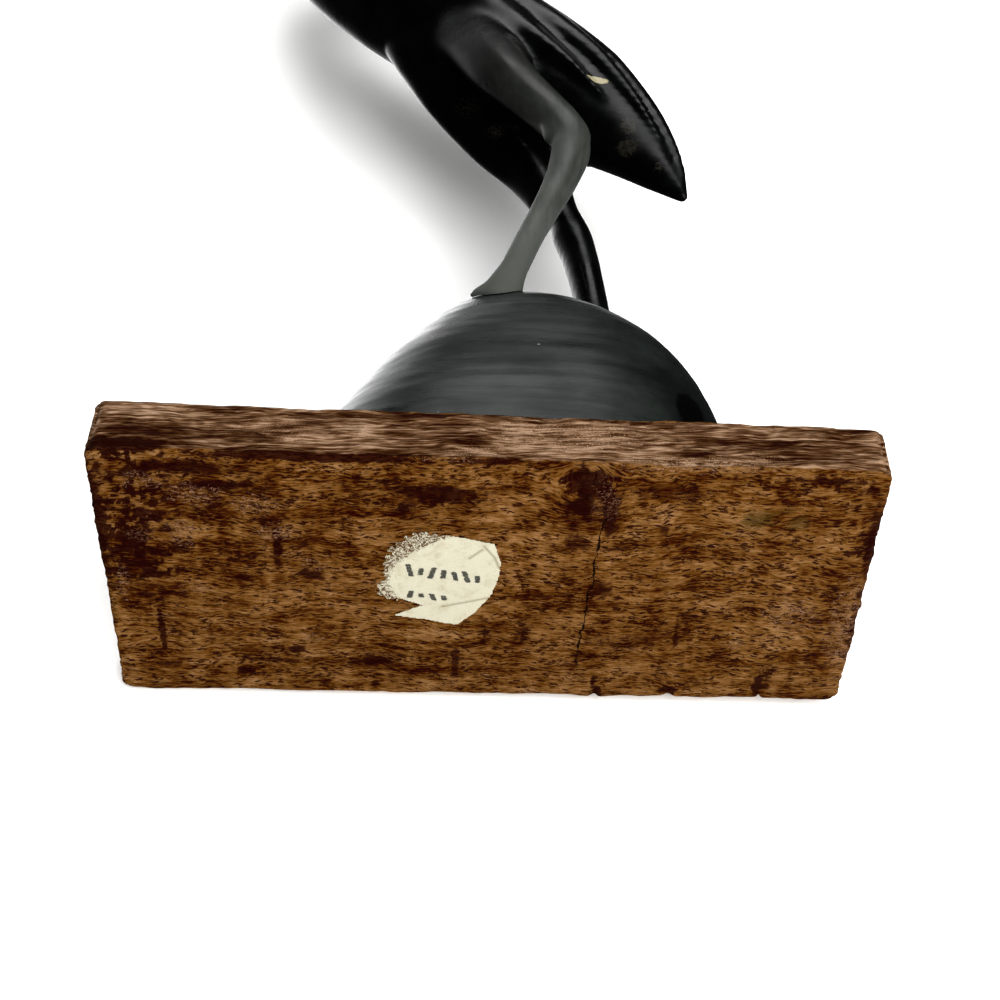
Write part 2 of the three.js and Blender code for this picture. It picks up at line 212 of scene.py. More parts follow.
class Clay:
    """A mesh whose vertices are moved together."""

    def __init__(self, mesh: bpy.types.Mesh) -> None:
        """Reads the mesh's vertices and edges."""
        self.mesh = mesh
        self.points = np.zeros(len(mesh.vertices) * 3)
        mesh.vertices.foreach_get("co", self.points)
        self.points = self.points.reshape(-1, 3)
        edges = np.zeros(len(mesh.edges) * 2, dtype=np.int32)
        mesh.edges.foreach_get("vertices", edges)
        self.edges = edges.reshape(-1, 2)
        self.count = np.bincount(self.edges.ravel(), minlength=len(self.points))

    def neighbours_mean(self, values: np.ndarray) -> np.ndarray:
        """Averages each vertex's neighbours' values."""
        one, two = self.edges.T
        total = np.zeros_like(values)
        for k in range(values.shape[1]):
            total[:, k] = np.bincount(one, values[two, k], len(values))
            total[:, k] += np.bincount(two, values[one, k], len(values))
        return total / self.count[:, None]

    def relax(self, rounds: int, weight: np.ndarray | float = 1.0, back: float = 0.0) -> np.ndarray:
        """Smooths the points.

        Args:
            rounds: How often each vertex moves towards its neighbours.
            weight: How much of half the way it moves, for all vertices or for each.
            back: The share of each move that is undone afterwards, which keeps thin forms from shrinking.

        Returns:
            The smoothed points, which are not kept yet.
        """
        points = self.points
        share = np.broadcast_to(np.asarray(weight, float), len(points))[:, None] * 0.5
        for _ in range(rounds):
            points = points + share * (self.neighbours_mean(points) - points)
            if back:
                points = points - back * share * (self.neighbours_mean(points) - points)
        return points

    def normals(self) -> np.ndarray:
        """Gives the vertex normals of the points as they are now."""
        self.keep()
        found = np.zeros(len(self.points) * 3)
        self.mesh.vertex_normals.foreach_get("vector", found)
        return found.reshape(-1, 3)

    def keep(self) -> None:
        """Writes the points back to the mesh."""
        self.mesh.vertices.foreach_set("co", self.points.astype(np.float32).ravel())
        self.mesh.update()

    def attribute(self, name: str, values: np.ndarray) -> None:
        """Adds a number for each vertex, which a material can read."""
        layer = self.mesh.attributes.new(name, "FLOAT", "POINT")
        layer.data.foreach_set("value", values.astype(np.float32))


def mesh_of(bm: bmesh.types.BMesh, name: str) -> bpy.types.Mesh:
    """Turns a bmesh into a mesh and frees it."""
    mesh = bpy.data.meshes.new(name)
    bm.to_mesh(mesh)
    bm.free()
    return mesh


def with_modifiers(
    mesh: bpy.types.Mesh, name: str, add: Callable[[bpy.types.Object], None]
) -> bpy.types.Mesh:
    """Applies modifiers to a mesh.

    Args:
        mesh: The mesh that they work on.
        name: The name of the new mesh.
        add: Adds the modifiers to the object that it is given.

    Returns:
        A new mesh with the modifiers applied.
    """
    carrier = bpy.data.objects.new(name, mesh)
    bpy.context.scene.collection.objects.link(carrier)
    add(carrier)
    bpy.context.view_layer.update()
    made = bpy.data.meshes.new_from_object(carrier.evaluated_get(bpy.context.evaluated_depsgraph_get()))
    made.name = name
    bpy.data.objects.remove(carrier)
    return made


def placed(
    mesh: bpy.types.Mesh, name: str, node: str, material: bpy.types.Material
) -> bpy.types.Object:
    """Scales a finished mesh to metres, keeps it in its node's box, dresses it and lets it ride.

    Args:
        mesh: The mesh, in millimetres.
        name: The piece's name.
        node: The CAD node that the piece stands for.
        material: The piece's finish.

    Returns:
        The piece.
    """
    clay = Clay(mesh)
    low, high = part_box(node)
    clay.points = np.clip(clay.points * MM, np.array(low), np.array(high))
    clay.keep()
    mesh.polygons.foreach_set("use_smooth", np.ones(len(mesh.polygons), bool))
    mesh.materials.clear()
    mesh.materials.append(material)
    piece = bpy.data.objects.new(name, mesh)
    bpy.context.scene.collection.objects.link(piece)
    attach(piece, ROOT)
    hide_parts(node)
    return piece


# Materials


class Graph:
    """A material's nodes, added by short calls that give back sockets."""

    def __init__(self, name: str) -> None:
        """Starts a material whose patterns read Object coordinates in millimetres."""
        self.material = bpy.data.materials.new(name)
        self.material.use_nodes = True
        self.tree = self.material.node_tree
        self.shader = self.tree.nodes["Principled BSDF"]
        place = self.node("ShaderNodeTexCoord").outputs["Object"]
        self.place = self.stretched(place, (1 / MM, 1 / MM, 1 / MM))

    def node(self, kind: str, inputs: dict | None = None, **settings: object) -> bpy.types.Node:
        """Adds a node.

        Args:
            kind: The node's type.
            inputs: Values or sockets for its inputs, by name or number.
            **settings: The node's own settings.

        Returns:
            The node.
        """
        made = self.tree.nodes.new(kind)
        for key, value in settings.items():
            setattr(made, key, value)
        for key, value in (inputs or {}).items():
            self.plug(made.inputs[key], value)
        return made

    def plug(self, socket: bpy.types.NodeSocket, value: object) -> None:
        """Links a socket to an input, or sets the input's own value."""
        if isinstance(value, bpy.types.NodeSocket):
            self.tree.links.new(value, socket)
        elif socket.type == "RGBA":
            socket.default_value = (*value, 1)
        else:
            socket.default_value = value

    def stretched(
        self,
        vector: bpy.types.NodeSocket,
        scale: tuple[float, float, float],
        shift: tuple[float, float, float] = (0, 0, 0),
        turn: tuple[float, float, float] = (0, 0, 0),
    ) -> bpy.types.NodeSocket:
        """Scales, turns and shifts the coordinates, so that a pattern is finer where the scale is larger."""
        inputs = {"Vector": vector, "Scale": scale, "Location": shift, "Rotation": turn}
        return self.node("ShaderNodeMapping", inputs).outputs["Vector"]

    def noise(
        self, vector: bpy.types.NodeSocket, scale: float = 1, detail: float = 2, roughness: float = 0.5
    ) -> bpy.types.NodeSocket:
        """Adds noise from 0 to 1."""
        inputs = {"Vector": vector, "Scale": scale, "Detail": detail, "Roughness": roughness}
        return self.node("ShaderNodeTexNoise", inputs).outputs["Fac"]

    def cells(self, vector: bpy.types.NodeSocket, randomness: float = 1) -> bpy.types.Node:
        """Adds a cell pattern, whose Distance is 0 at each cell's middle."""
        return self.node("ShaderNodeTexVoronoi", {"Vector": vector, "Scale": 1, "Randomness": randomness})

    def sum(self, operation: str, one: object, two: object = 0.0) -> bpy.types.NodeSocket:
        """Adds a math node."""
        return self.node("ShaderNodeMath", {0: one, 1: two}, operation=operation).outputs["Value"]

    def span(
        self, value: object, low: float, high: float, to_low: float = 0, to_high: float = 1
    ) -> bpy.types.NodeSocket:
        """Turns the span low to high into another one, smoothly and without going past its ends."""
        inputs = {"Value": value, "From Min": low, "From Max": high, "To Min": to_low, "To Max": to_high}
        kind = "SMOOTHSTEP"
        return self.node("ShaderNodeMapRange", inputs, interpolation_type=kind).outputs["Result"]

    def mix(self, share: object, one: object, two: object) -> bpy.types.NodeSocket:
        """Mixes two colours."""
        made = self.node("ShaderNodeMix", data_type="RGBA")
        for index, value in zip(MIX_INPUTS, (share, one, two)):
            self.plug(made.inputs[index], value)
        return made.outputs[MIX_OUTPUT]

    def ramp(self, value: object, stops: Sequence[tuple[float, Colour]]) -> bpy.types.NodeSocket:
        """Turns a value into a colour between rising stops."""
        made = self.node("ShaderNodeValToRGB", {0: value})
        elements = made.color_ramp.elements
        for _ in stops[2:]:
            elements.new(1.0)
        for element, (place, colour) in zip(elements, stops):
            element.position = place
            element.color = (*colour, 1)
        return made.outputs["Color"]

    def painted(self, name: str) -> bpy.types.NodeSocket:
        """Reads a number that the mesh holds for each vertex."""
        return self.node("ShaderNodeAttribute", attribute_name=name).outputs["Fac"]

    def bump(self, height: object, depth: float) -> None:
        """Lets a height stand out of the surface.

        Args:
            height: The height's socket, from 0 to 1.
            depth: How deep that is, in millimetres.
        """
        inputs = {"Height": height, "Distance": depth * MM}
        self.plug(self.shader.inputs["Normal"], self.node("ShaderNodeBump", inputs).outputs["Normal"])


@dataclass(frozen=True)
class Knot:
    """Where the board's knot is, and how far the grain bends round it."""

    x: float = 10.3
    y: float = -16.1
    radius: float = 2.3


@dataclass(frozen=True)
class OldWood:
    """Worn brown hardwood with open pores, stained and rubbed; the red-brown of the stained places also
    paints shade at some edges and notches.
    """

    knot: Knot = Knot()
    # Colours of the flat faces and of the sawn sides, each with its place between dark and light
    flat_tones: tuple[tuple[float, Colour], ...] = (
        (0.1, (0.03, 0.0008, 0.0004)),
        (0.22, (0.056, 0.0125, 0.001)),
        (0.32, (0.09, 0.033, 0.0028)),
        (0.41, (0.128, 0.058, 0.01)),
        (0.52, (0.168, 0.085, 0.024)),
        (0.66, (0.215, 0.117, 0.044)),
        (0.82, (0.28, 0.165, 0.08)),
    )
    side_tones: tuple[tuple[float, Colour], ...] = (
        (0.14, (0.026, 0.004, 0.0006)),
        (0.3, (0.055, 0.022, 0.005)),
        (0.42, (0.095, 0.049, 0.021)),
        (0.55, (0.14, 0.08, 0.044)),
        (0.69, (0.235, 0.152, 0.094)),
        (0.85, (0.35, 0.245, 0.17)),
    )
    red: Colour = (0.026, 0.0016, 0.0008)
    plum: Colour = (0.032, 0.0045, 0.003)
    fibre: Colour = (0.29, 0.175, 0.108)
    olive: Colour = (0.06, 0.038, 0.006)
    grime: Colour = (0.006, 0.002, 0.0015)
    roughness: tuple[float, float] = (0.6, 0.85)
    specular: float = 0.06
    relief: float = 0.2
    # How strongly the knot bends the lines, and how far their two waves sway, in millimetres
    knot_push: float = 1.6
    knot_softness: float = 2.0
    wave_sway: float = 4.0
    ripple_sway: float = 0.9
    # The crack's place along X, its lean and sway, its opening, and where it fades in from each long side
    crack_at: float = 10.6
    crack_lean: float = -0.07
    crack_sway: float = 2.2
    crack_opening: tuple[float, float] = (0.04, 0.17)
    crack_near: tuple[float, float] = (-14.5, -11.0)
    crack_far: tuple[float, float] = (14.2, 11.5)

    def grain(self, g: Graph) -> bpy.types.NodeSocket:
        """Bends the board's coordinates so that lines along X pass round the knot in waves."""
        split = g.node("ShaderNodeSeparateXYZ", {0: g.place})
        x, y, z = split.outputs
        from_x = g.sum("SUBTRACT", x, self.knot.x)
        from_y = g.sum("SUBTRACT", y, self.knot.y)
        square = g.sum("ADD", g.sum("MULTIPLY", from_x, from_x), g.sum("MULTIPLY", from_y, from_y))
        reach = self.knot.radius**2 * self.knot_push
        pushed = g.sum("DIVIDE", reach, g.sum("ADD", square, self.knot_softness))
        bent = g.sum("MULTIPLY", from_y, g.sum("SUBTRACT", 1.0, pushed))
        wave = g.noise(g.stretched(g.place, (0.06, 0.05, 0.05)), detail=2)
        ripple = g.noise(g.stretched(g.place, (0.35, 0.3, 0.3)), detail=2)
        waved = g.sum("ADD", bent, g.sum("MULTIPLY", wave, self.wave_sway))
        waved = g.sum("ADD", waved, g.sum("MULTIPLY", ripple, self.ripple_sway))
        return g.node("ShaderNodeCombineXYZ", {0: x, 1: waved, 2: z}).outputs[0]

    def blend(self, g: Graph, parts: Sequence[tuple[bpy.types.NodeSocket, float]]) -> bpy.types.NodeSocket:
        """Adds up noises by their share, round the middle of the tones."""
        total = 0.5
        for part, share in parts:
            total = g.sum("ADD", g.sum("MULTIPLY", g.sum("SUBTRACT", part, 0.5), share), total)
        return total

    def material(self) -> bpy.types.Material:
        """Makes the material.

        Returns:
            The board's material, which reads the attributes stain, dirt, worn, olive, porous, pale and rim.
        """
        g = Graph("old_wood")
        grain = self.grain(g)
        fibres = g.noise(g.stretched(grain, (0.9, 5.2, 5.2)), detail=1.5, roughness=0.6)
        streaks = g.noise(g.stretched(grain, (0.34, 1.9, 1.9)), detail=2, roughness=0.6)
        bands = g.noise(g.stretched(grain, (0.07, 0.6, 0.6)), detail=2, roughness=0.6)
        blotch = g.noise(g.stretched(g.place, (0.2, 0.32, 0.3)), detail=4, roughness=0.65)
        saw = g.noise(g.stretched(g.place, (0.55, 0.04, 0.04)), detail=3, roughness=0.6)
        tone = self.blend(g, ((fibres, 1.1), (streaks, 0.5), (bands, 0.75), (blotch, 0.95), (saw, 0.4)))
        tone = g.sum("SUBTRACT", tone, g.sum("MULTIPLY", g.painted("dirt"), 0.15))
        tone = g.sum("ADD", tone, g.sum("MULTIPLY", g.painted("worn"), 0.07))
        colour = g.ramp(tone, self.flat_tones)

        pores = self.pores(g, grain)
        flecks = self.flecks(g, grain)
        curls = self.curls(g)
        # Red-brown where stained, and painted shade along the near arris, beside the crack and in the far
        # edge's notches, which the same marks carry
        stain_edge = g.sum("MULTIPLY", g.sum("SUBTRACT", streaks, 0.5), 1.6)
        stain_edge = g.sum("ADD", stain_edge, g.sum("MULTIPLY", g.sum("SUBTRACT", fibres, 0.5), 1.6))
        stained = g.span(g.sum("ADD", g.painted("stain_and_shade"), stain_edge), 0.35, 0.8, 0, 0.85)
        colour = g.mix(stained, colour, self.red)
        colour = g.mix(g.sum("MULTIPLY", flecks, 0.85), colour, self.red)
        colour = g.mix(g.sum("MULTIPLY", g.painted("olive"), 0.7), colour, self.olive)
        colour = g.mix(g.sum("MULTIPLY", pores, 0.9), colour, self.plum)
        colour = g.mix(g.sum("MULTIPLY", curls, 0.8), colour, self.fibre)
        colour = g.mix(g.span(g.painted("rim"), 0.2, 0.8), colour, self.sawn_side(g))
        crack = self.crack(g)
        colour = g.mix(g.sum("MULTIPLY", crack, 0.92), colour, self.grime)

        g.plug(g.shader.inputs["Base Color"], colour)
        g.plug(g.shader.inputs["Roughness"], g.span(fibres, 0.3, 0.7, *self.roughness))
        g.shader.inputs["Specular IOR Level"].default_value = self.specular
        height = self.blend(g, ((streaks, 0.7), (fibres, 0.9)))
        height = g.sum("SUBTRACT", height, g.sum("MULTIPLY", pores, 0.5))
        height = g.sum("SUBTRACT", height, g.sum("MULTIPLY", flecks, 0.35))
        height = g.sum("ADD", height, g.sum("MULTIPLY", curls, 0.5))
        height = g.sum("SUBTRACT", height, crack)
        g.bump(height, depth=self.relief)
        return g.material

    def pores(self, g: Graph, grain: bpy.types.NodeSocket) -> bpy.types.NodeSocket:
        """Makes the open pores: short dark dashes along the grain, thicker where the board is porous."""
        wavy = g.noise(g.stretched(g.place, (0.8, 0.8, 0.8)), detail=1)
        sway = g.node("ShaderNodeCombineXYZ", {0: 0, 1: g.sum("MULTIPLY", wavy, 0.9), 2: 0}).outputs[0]
        swayed = g.node("ShaderNodeVectorMath", {0: grain, 1: sway}, operation="ADD").outputs[0]
        cells = g.cells(g.stretched(swayed, (0.62, 2.5, 2.5)), 0.95)
        open_share = g.sum("ADD", g.sum("MULTIPLY", g.painted("porous"), 0.3), 0.55)
        some = g.span(g.sum("SUBTRACT", open_share, cells.outputs["Color"]), 0, 0.05)
        size = g.sum("ADD", g.sum("MULTIPLY", g.painted("porous"), 0.03), 0.29)
        dash = g.span(g.sum("DIVIDE", cells.outputs["Distance"], size), 1.1, 0.75)
        return g.sum("MULTIPLY", dash, some)

    def flecks(self, g: Graph, grain: bpy.types.NodeSocket) -> bpy.types.NodeSocket:
        """Makes the dark red flecks of old dirt in the torn grain, denser where the board is dirty."""
        small = g.noise(g.stretched(grain, (1.5, 4.0, 4.0)), detail=2, roughness=0.6)
        clumps = g.noise(g.stretched(g.place, (0.35, 0.5, 0.5)), detail=3)
        share = self.blend(g, ((small, 1.0), (clumps, 0.55)))
        share = g.sum("ADD", share, g.sum("MULTIPLY", g.painted("dirt"), 0.055))
        share = g.sum("ADD", share, g.sum("MULTIPLY", g.painted("stain_and_shade"), 0.05))
        return g.span(share, 0.61, 0.645)

    def curls(self, g: Graph) -> bpy.types.NodeSocket:
        """Makes thin curly pale fibres where the wood is rubbed."""
        swirl = g.noise(g.stretched(g.place, (0.9, 1.5, 1.5)), detail=2, roughness=0.75)
        line = g.span(g.sum("ABSOLUTE", g.sum("SUBTRACT", swirl, 0.5)), 0.022, 0.008)
        crumbs = g.noise(g.stretched(g.place, (1.6, 3.4, 3.4)), detail=2, roughness=0.7)
        crumb = g.span(g.sum("ADD", crumbs, g.sum("MULTIPLY", g.painted("worn"), 0.03)), 0.6, 0.64)
        return g.sum("MULTIPLY", g.sum("MAXIMUM", line, crumb), g.span(g.painted("worn"), 0.15, 0.7))

    def sawn_side(self, g: Graph) -> bpy.types.NodeSocket:
        """Colours the sawn sides: grey-brown, with pinkish torn fibres and dark dirt along the grain."""
        leaning = g.stretched(g.place, (1, 1, 1), turn=(0, 0.035, 0))
        wave = g.noise(g.stretched(g.place, (0.14, 0.1, 0.1)), detail=2)
        lift = g.node("ShaderNodeCombineXYZ", {0: 0, 1: 0, 2: g.sum("MULTIPLY", wave, 1.3)}).outputs[0]
        waved = g.node("ShaderNodeVectorMath", {0: leaning, 1: lift}, operation="ADD").outputs[0]
        fine = g.noise(g.stretched(waved, (0.35, 3.0, 4.4)), detail=1.5, roughness=0.6)
        streaks = g.noise(g.stretched(waved, (0.1, 1.5, 2.0)), detail=2, roughness=0.6)
        bands = g.noise(g.stretched(waved, (0.04, 0.6, 0.8)), detail=2, roughness=0.6)
        patches = g.noise(g.stretched(g.place, (0.16, 0.3, 0.3)), detail=3, roughness=0.6)
        swirl = g.noise(g.stretched(g.place, (0.5, 0.6, 0.8)), detail=2, roughness=0.7)
        rings = g.sum("PINGPONG", g.sum("MULTIPLY", swirl, 16.0), 0.5)
        tone = self.blend(g, ((fine, 1.5), (streaks, 0.9), (bands, 0.6), (patches, 0.8)))
        curly = g.sum("MULTIPLY", g.span(rings, 0.14, 0.04, -0.08, 0.34), g.painted("pale"))
        tone = g.sum("ADD", g.sum("ADD", tone, curly), g.sum("MULTIPLY", g.painted("pale"), 0.1))
        # Darker where stained, and painted shade just above the near arris
        tone = g.sum("SUBTRACT", tone, g.sum("MULTIPLY", g.painted("stain_and_shade"), 0.42))
        return g.ramp(tone, self.side_tones)

    def crack(self, g: Graph) -> bpy.types.NodeSocket:
        """Draws the crack that runs from the knot across the underside."""
        split = g.node("ShaderNodeSeparateXYZ", {0: g.place})
        x, y, z = split.outputs
        wobble = g.noise(g.stretched(g.place, (0, 0.3, 0)), detail=4, roughness=0.6)
        sway = g.sum("MULTIPLY", wobble, self.crack_sway)
        middle = g.sum("ADD", g.sum("MULTIPLY", y, self.crack_lean), sway)
        away = g.sum("ABSOLUTE", g.sum("SUBTRACT", g.sum("SUBTRACT", x, self.crack_at), middle))
        wider = g.noise(g.stretched(g.place, (0, 0.5, 0), (0, 3.1, 0)), detail=3)
        opening = g.span(wider, 0.4, 0.66, *self.crack_opening)
        line = g.span(g.sum("DIVIDE", away, opening), 1.2, 0.5)
        reach = g.sum("MULTIPLY", g.span(y, *self.crack_near), g.span(y, *self.crack_far))
        near_face = g.span(z, 2.0, 1.0)
        return g.sum("MULTIPLY", line, g.sum("MULTIPLY", reach, near_face))


@dataclass(frozen=True)
class CreamPaper:
    """Old cream paper, foxed, with worn smudges of ink."""

    cream: Colour = (0.52, 0.5, 0.4)
    stained: Colour = (0.37, 0.31, 0.2)
    shaded: Colour = (0.2, 0.17, 0.11)
    bare: Colour = (0.1, 0.045, 0.014)
    ink: Colour = (0.03, 0.032, 0.03)
    roughness: float = 0.85
    specular: float = 0.2
    relief: float = 0.05

    def material(self) -> bpy.types.Material:
        """Makes the material, which reads the attributes fray, ink and crease; along the creases it paints
        shade.
        """
        g = Graph("cream_paper")
        clouds = g.noise(g.place, 0.5, 4, 0.65)
        specks = g.noise(g.place, 3.2, 4, 0.75)
        swirl = g.noise(g.place, 2.1, 2, 0.7)
        threads = g.span(g.sum("ABSOLUTE", g.sum("SUBTRACT", swirl, 0.5)), 0.02, 0.07)
        colour = g.mix(g.span(clouds, 0.45, 0.75, 0, 0.5), self.cream, self.stained)
        colour = g.mix(g.span(specks, 0.55, 0.68, 0, 0.45), colour, self.stained)
        faded = g.sum("ADD", g.painted("ink"), g.sum("MULTIPLY", g.sum("SUBTRACT", specks, 0.5), 1.8))
        colour = g.mix(g.span(faded, 0.45, 0.9, 0, 0.9), colour, self.ink)
        # Painted shade along the folds
        colour = g.mix(g.sum("MULTIPLY", g.painted("crease"), 0.65), colour, self.shaded)
        rubbed = g.sum("ADD", g.painted("fray"), g.sum("MULTIPLY", g.sum("SUBTRACT", specks, 0.5), 1.6))
        rubbed = g.sum("MULTIPLY", g.span(rubbed, 0.4, 0.8), threads)
        colour = g.mix(g.sum("MULTIPLY", rubbed, 0.9), colour, self.bare)
        g.plug(g.shader.inputs["Base Color"], colour)
        g.shader.inputs["Roughness"].default_value = self.roughness
        g.shader.inputs["Specular IOR Level"].default_value = self.specular
        g.bump(g.sum("SUBTRACT", specks, rubbed), depth=self.relief)
        return g.material


@dataclass(frozen=True)
class GreyHorn:
    """Dark grey-green horn, filed smooth, with faint marks of the file."""

    dark: Colour = (0.01, 0.012, 0.011)
    grey: Colour = (0.028, 0.033, 0.03)
    black: Colour = (0.002, 0.002, 0.002)
    dust: Colour = (0.3, 0.32, 0.31)
    roughness: tuple[float, float] = (0.24, 0.36)
    specular: float = 0.12
    relief: float = 0.025
    # How far the marks of the file lean, in radians
    lean: float = 0.12

    def material(self) -> bpy.types.Material:
        """Makes the material, which reads the attribute dark, where a dark reflection is painted."""
        g = Graph("grey_horn")
        turn = (0, self.lean, 0)
        strokes = g.noise(g.stretched(g.place, (0.07, 0.5, 0.8), turn=turn), detail=5, roughness=0.55)
        fine = g.noise(g.stretched(g.place, (0.5, 3.0, 5.0), turn=turn), detail=3)
        clouds = g.noise(g.place, 0.1, 3, 0.55)
        colour = g.mix(g.span(clouds, 0.35, 0.65), self.dark, self.grey)
        colour = g.mix(g.span(strokes, 0.52, 0.72, 0, 0.4), colour, self.dark)
        fine_edge = g.sum("MULTIPLY", g.sum("SUBTRACT", fine, 0.5), 1.2)
        # Near black: fine dark streaks of the horn, and a painted dark reflection where the attribute dark is
        # set
        colour = g.mix(g.span(g.sum("ADD", g.painted("dark"), fine_edge), 0.35, 0.7), colour, self.black)
        motes = g.cells(g.stretched(g.place, (0.27, 0.27, 0.27)))
        mote = g.span(motes.outputs["Distance"], 0.055, 0.03)
        mote = g.sum("MULTIPLY", mote, g.span(motes.outputs["Color"], 0.5, 0.6))
        colour = g.mix(g.sum("MULTIPLY", mote, 0.7), colour, self.dust)
        g.plug(g.shader.inputs["Base Color"], colour)
        sheen = g.sum("ADD", g.sum("MULTIPLY", strokes, 0.5), g.sum("MULTIPLY", fine, 0.3))
        g.plug(g.shader.inputs["Roughness"], g.span(sheen, 0.25, 0.55, *self.roughness))
        g.shader.inputs["Specular IOR Level"].default_value = self.specular
        height = g.sum("ADD", strokes, g.sum("MULTIPLY", fine, 0.08))
        g.bump(height, depth=self.relief)
        return g.material


@dataclass(frozen=True)
class BlackHorn:
    """Black polished horn, paler and duller on the near leg, partly as paler horn and partly as painted
    sheen, and brownish where it is scraped thin.
    """

    black: Colour = (0.001, 0.0012, 0.0012)
    grey: Colour = (0.0035, 0.004, 0.004)
    pale: Colour = (0.085, 0.09, 0.08)
    amber: Colour = (0.04, 0.036, 0.028)
    cream: Colour = (0.3, 0.27, 0.18)
    roughness: tuple[float, float] = (0.24, 0.36)
    pale_roughness: float = 0.3
    specular: float = 0.18
    relief: float = 0.05
    # How far the marks of the scraper lean, in radians
    lean: float = 0.78

    def material(self) -> bpy.types.Material:
        """Makes the material, which reads the attributes pale (partly paler horn, partly painted sheen),
        scraped, and the one for the cream spot.
        """
        g = Graph("black_horn")
        clouds = g.noise(g.place, 0.16, 4, 0.55)
        leaning = g.stretched(g.place, (1.1, 1.1, 0.16), turn=(0, self.lean, 0))
        strokes = g.noise(leaning, detail=4, roughness=0.6)
        fine = g.noise(g.place, 2.6, 4, 0.65)
        colour = g.mix(g.span(clouds, 0.4, 0.7), self.black, self.grey)
        # The near leg is paler: partly paler horn, partly painted sheen on the thigh and shank
        pale_and_sheen = g.sum("MULTIPLY", g.painted("pale"), g.span(strokes, 0.2, 0.8, 0.75, 1.25))
        colour = g.mix(pale_and_sheen, colour, self.pale)
        scraped = g.sum("ADD", g.painted("scraped"), g.sum("MULTIPLY", g.sum("SUBTRACT", fine, 0.5), 2.2))
        colour = g.mix(g.span(scraped, 0.55, 1.1, 0, 0.8), colour, self.amber)
        # A cream spot on the near wing
        cream_spotted = g.sum("ADD", g.painted("cream_spot"), g.sum("MULTIPLY", g.sum("SUBTRACT", fine, 0.5), 0.7))
        colour = g.mix(g.span(cream_spotted, 0.45, 0.7), colour, self.cream)
        g.plug(g.shader.inputs["Base Color"], colour)
        dull = g.sum("ADD", clouds, g.sum("MULTIPLY", fine, 0.35))
        polish = g.span(dull, 0.5, 0.85, *self.roughness)
        duller = g.sum("MULTIPLY", g.painted("pale"), self.pale_roughness)
        g.plug(g.shader.inputs["Roughness"], g.sum("ADD", polish, duller))
        g.shader.inputs["Specular IOR Level"].default_value = self.specular
        height = g.sum("ADD", g.sum("MULTIPLY", clouds, 1.4), g.sum("MULTIPLY", strokes, 0.25))
        height = g.sum("ADD", height, g.sum("MULTIPLY", fine, 0.03))
        g.bump(height, depth=self.relief)
        return g.material


# The wooden base


@dataclass(frozen=True)
class Mark:
    """A soft oval mark on a face: its middle and its two half sizes."""

    u: float
    v: float
    half_u: float
    half_v: float
    strength: float = 1.0

    def at(self, u: float, v: float, ragged: float) -> float:
        """Gives the mark's strength at a place.

        Args:
            u: The place's first coordinate.
            v: The place's second coordinate.
            ragged: Noise that makes the mark's edge uneven.

        Returns:
            The strength, from 0 outside to the mark's own in its middle.
        """
        away = math.hypot((u - self.u) / self.half_u, (v - self.v) / self.half_v)
        return self.strength * ease(MARK_REACH - away + ragged)


def marked(marks: Sequence[Mark], u: float, v: float, ragged: float) -> float:
    """Gives the strongest of several marks at a place."""
    return max(mark.at(u, v, ragged) for mark in marks)


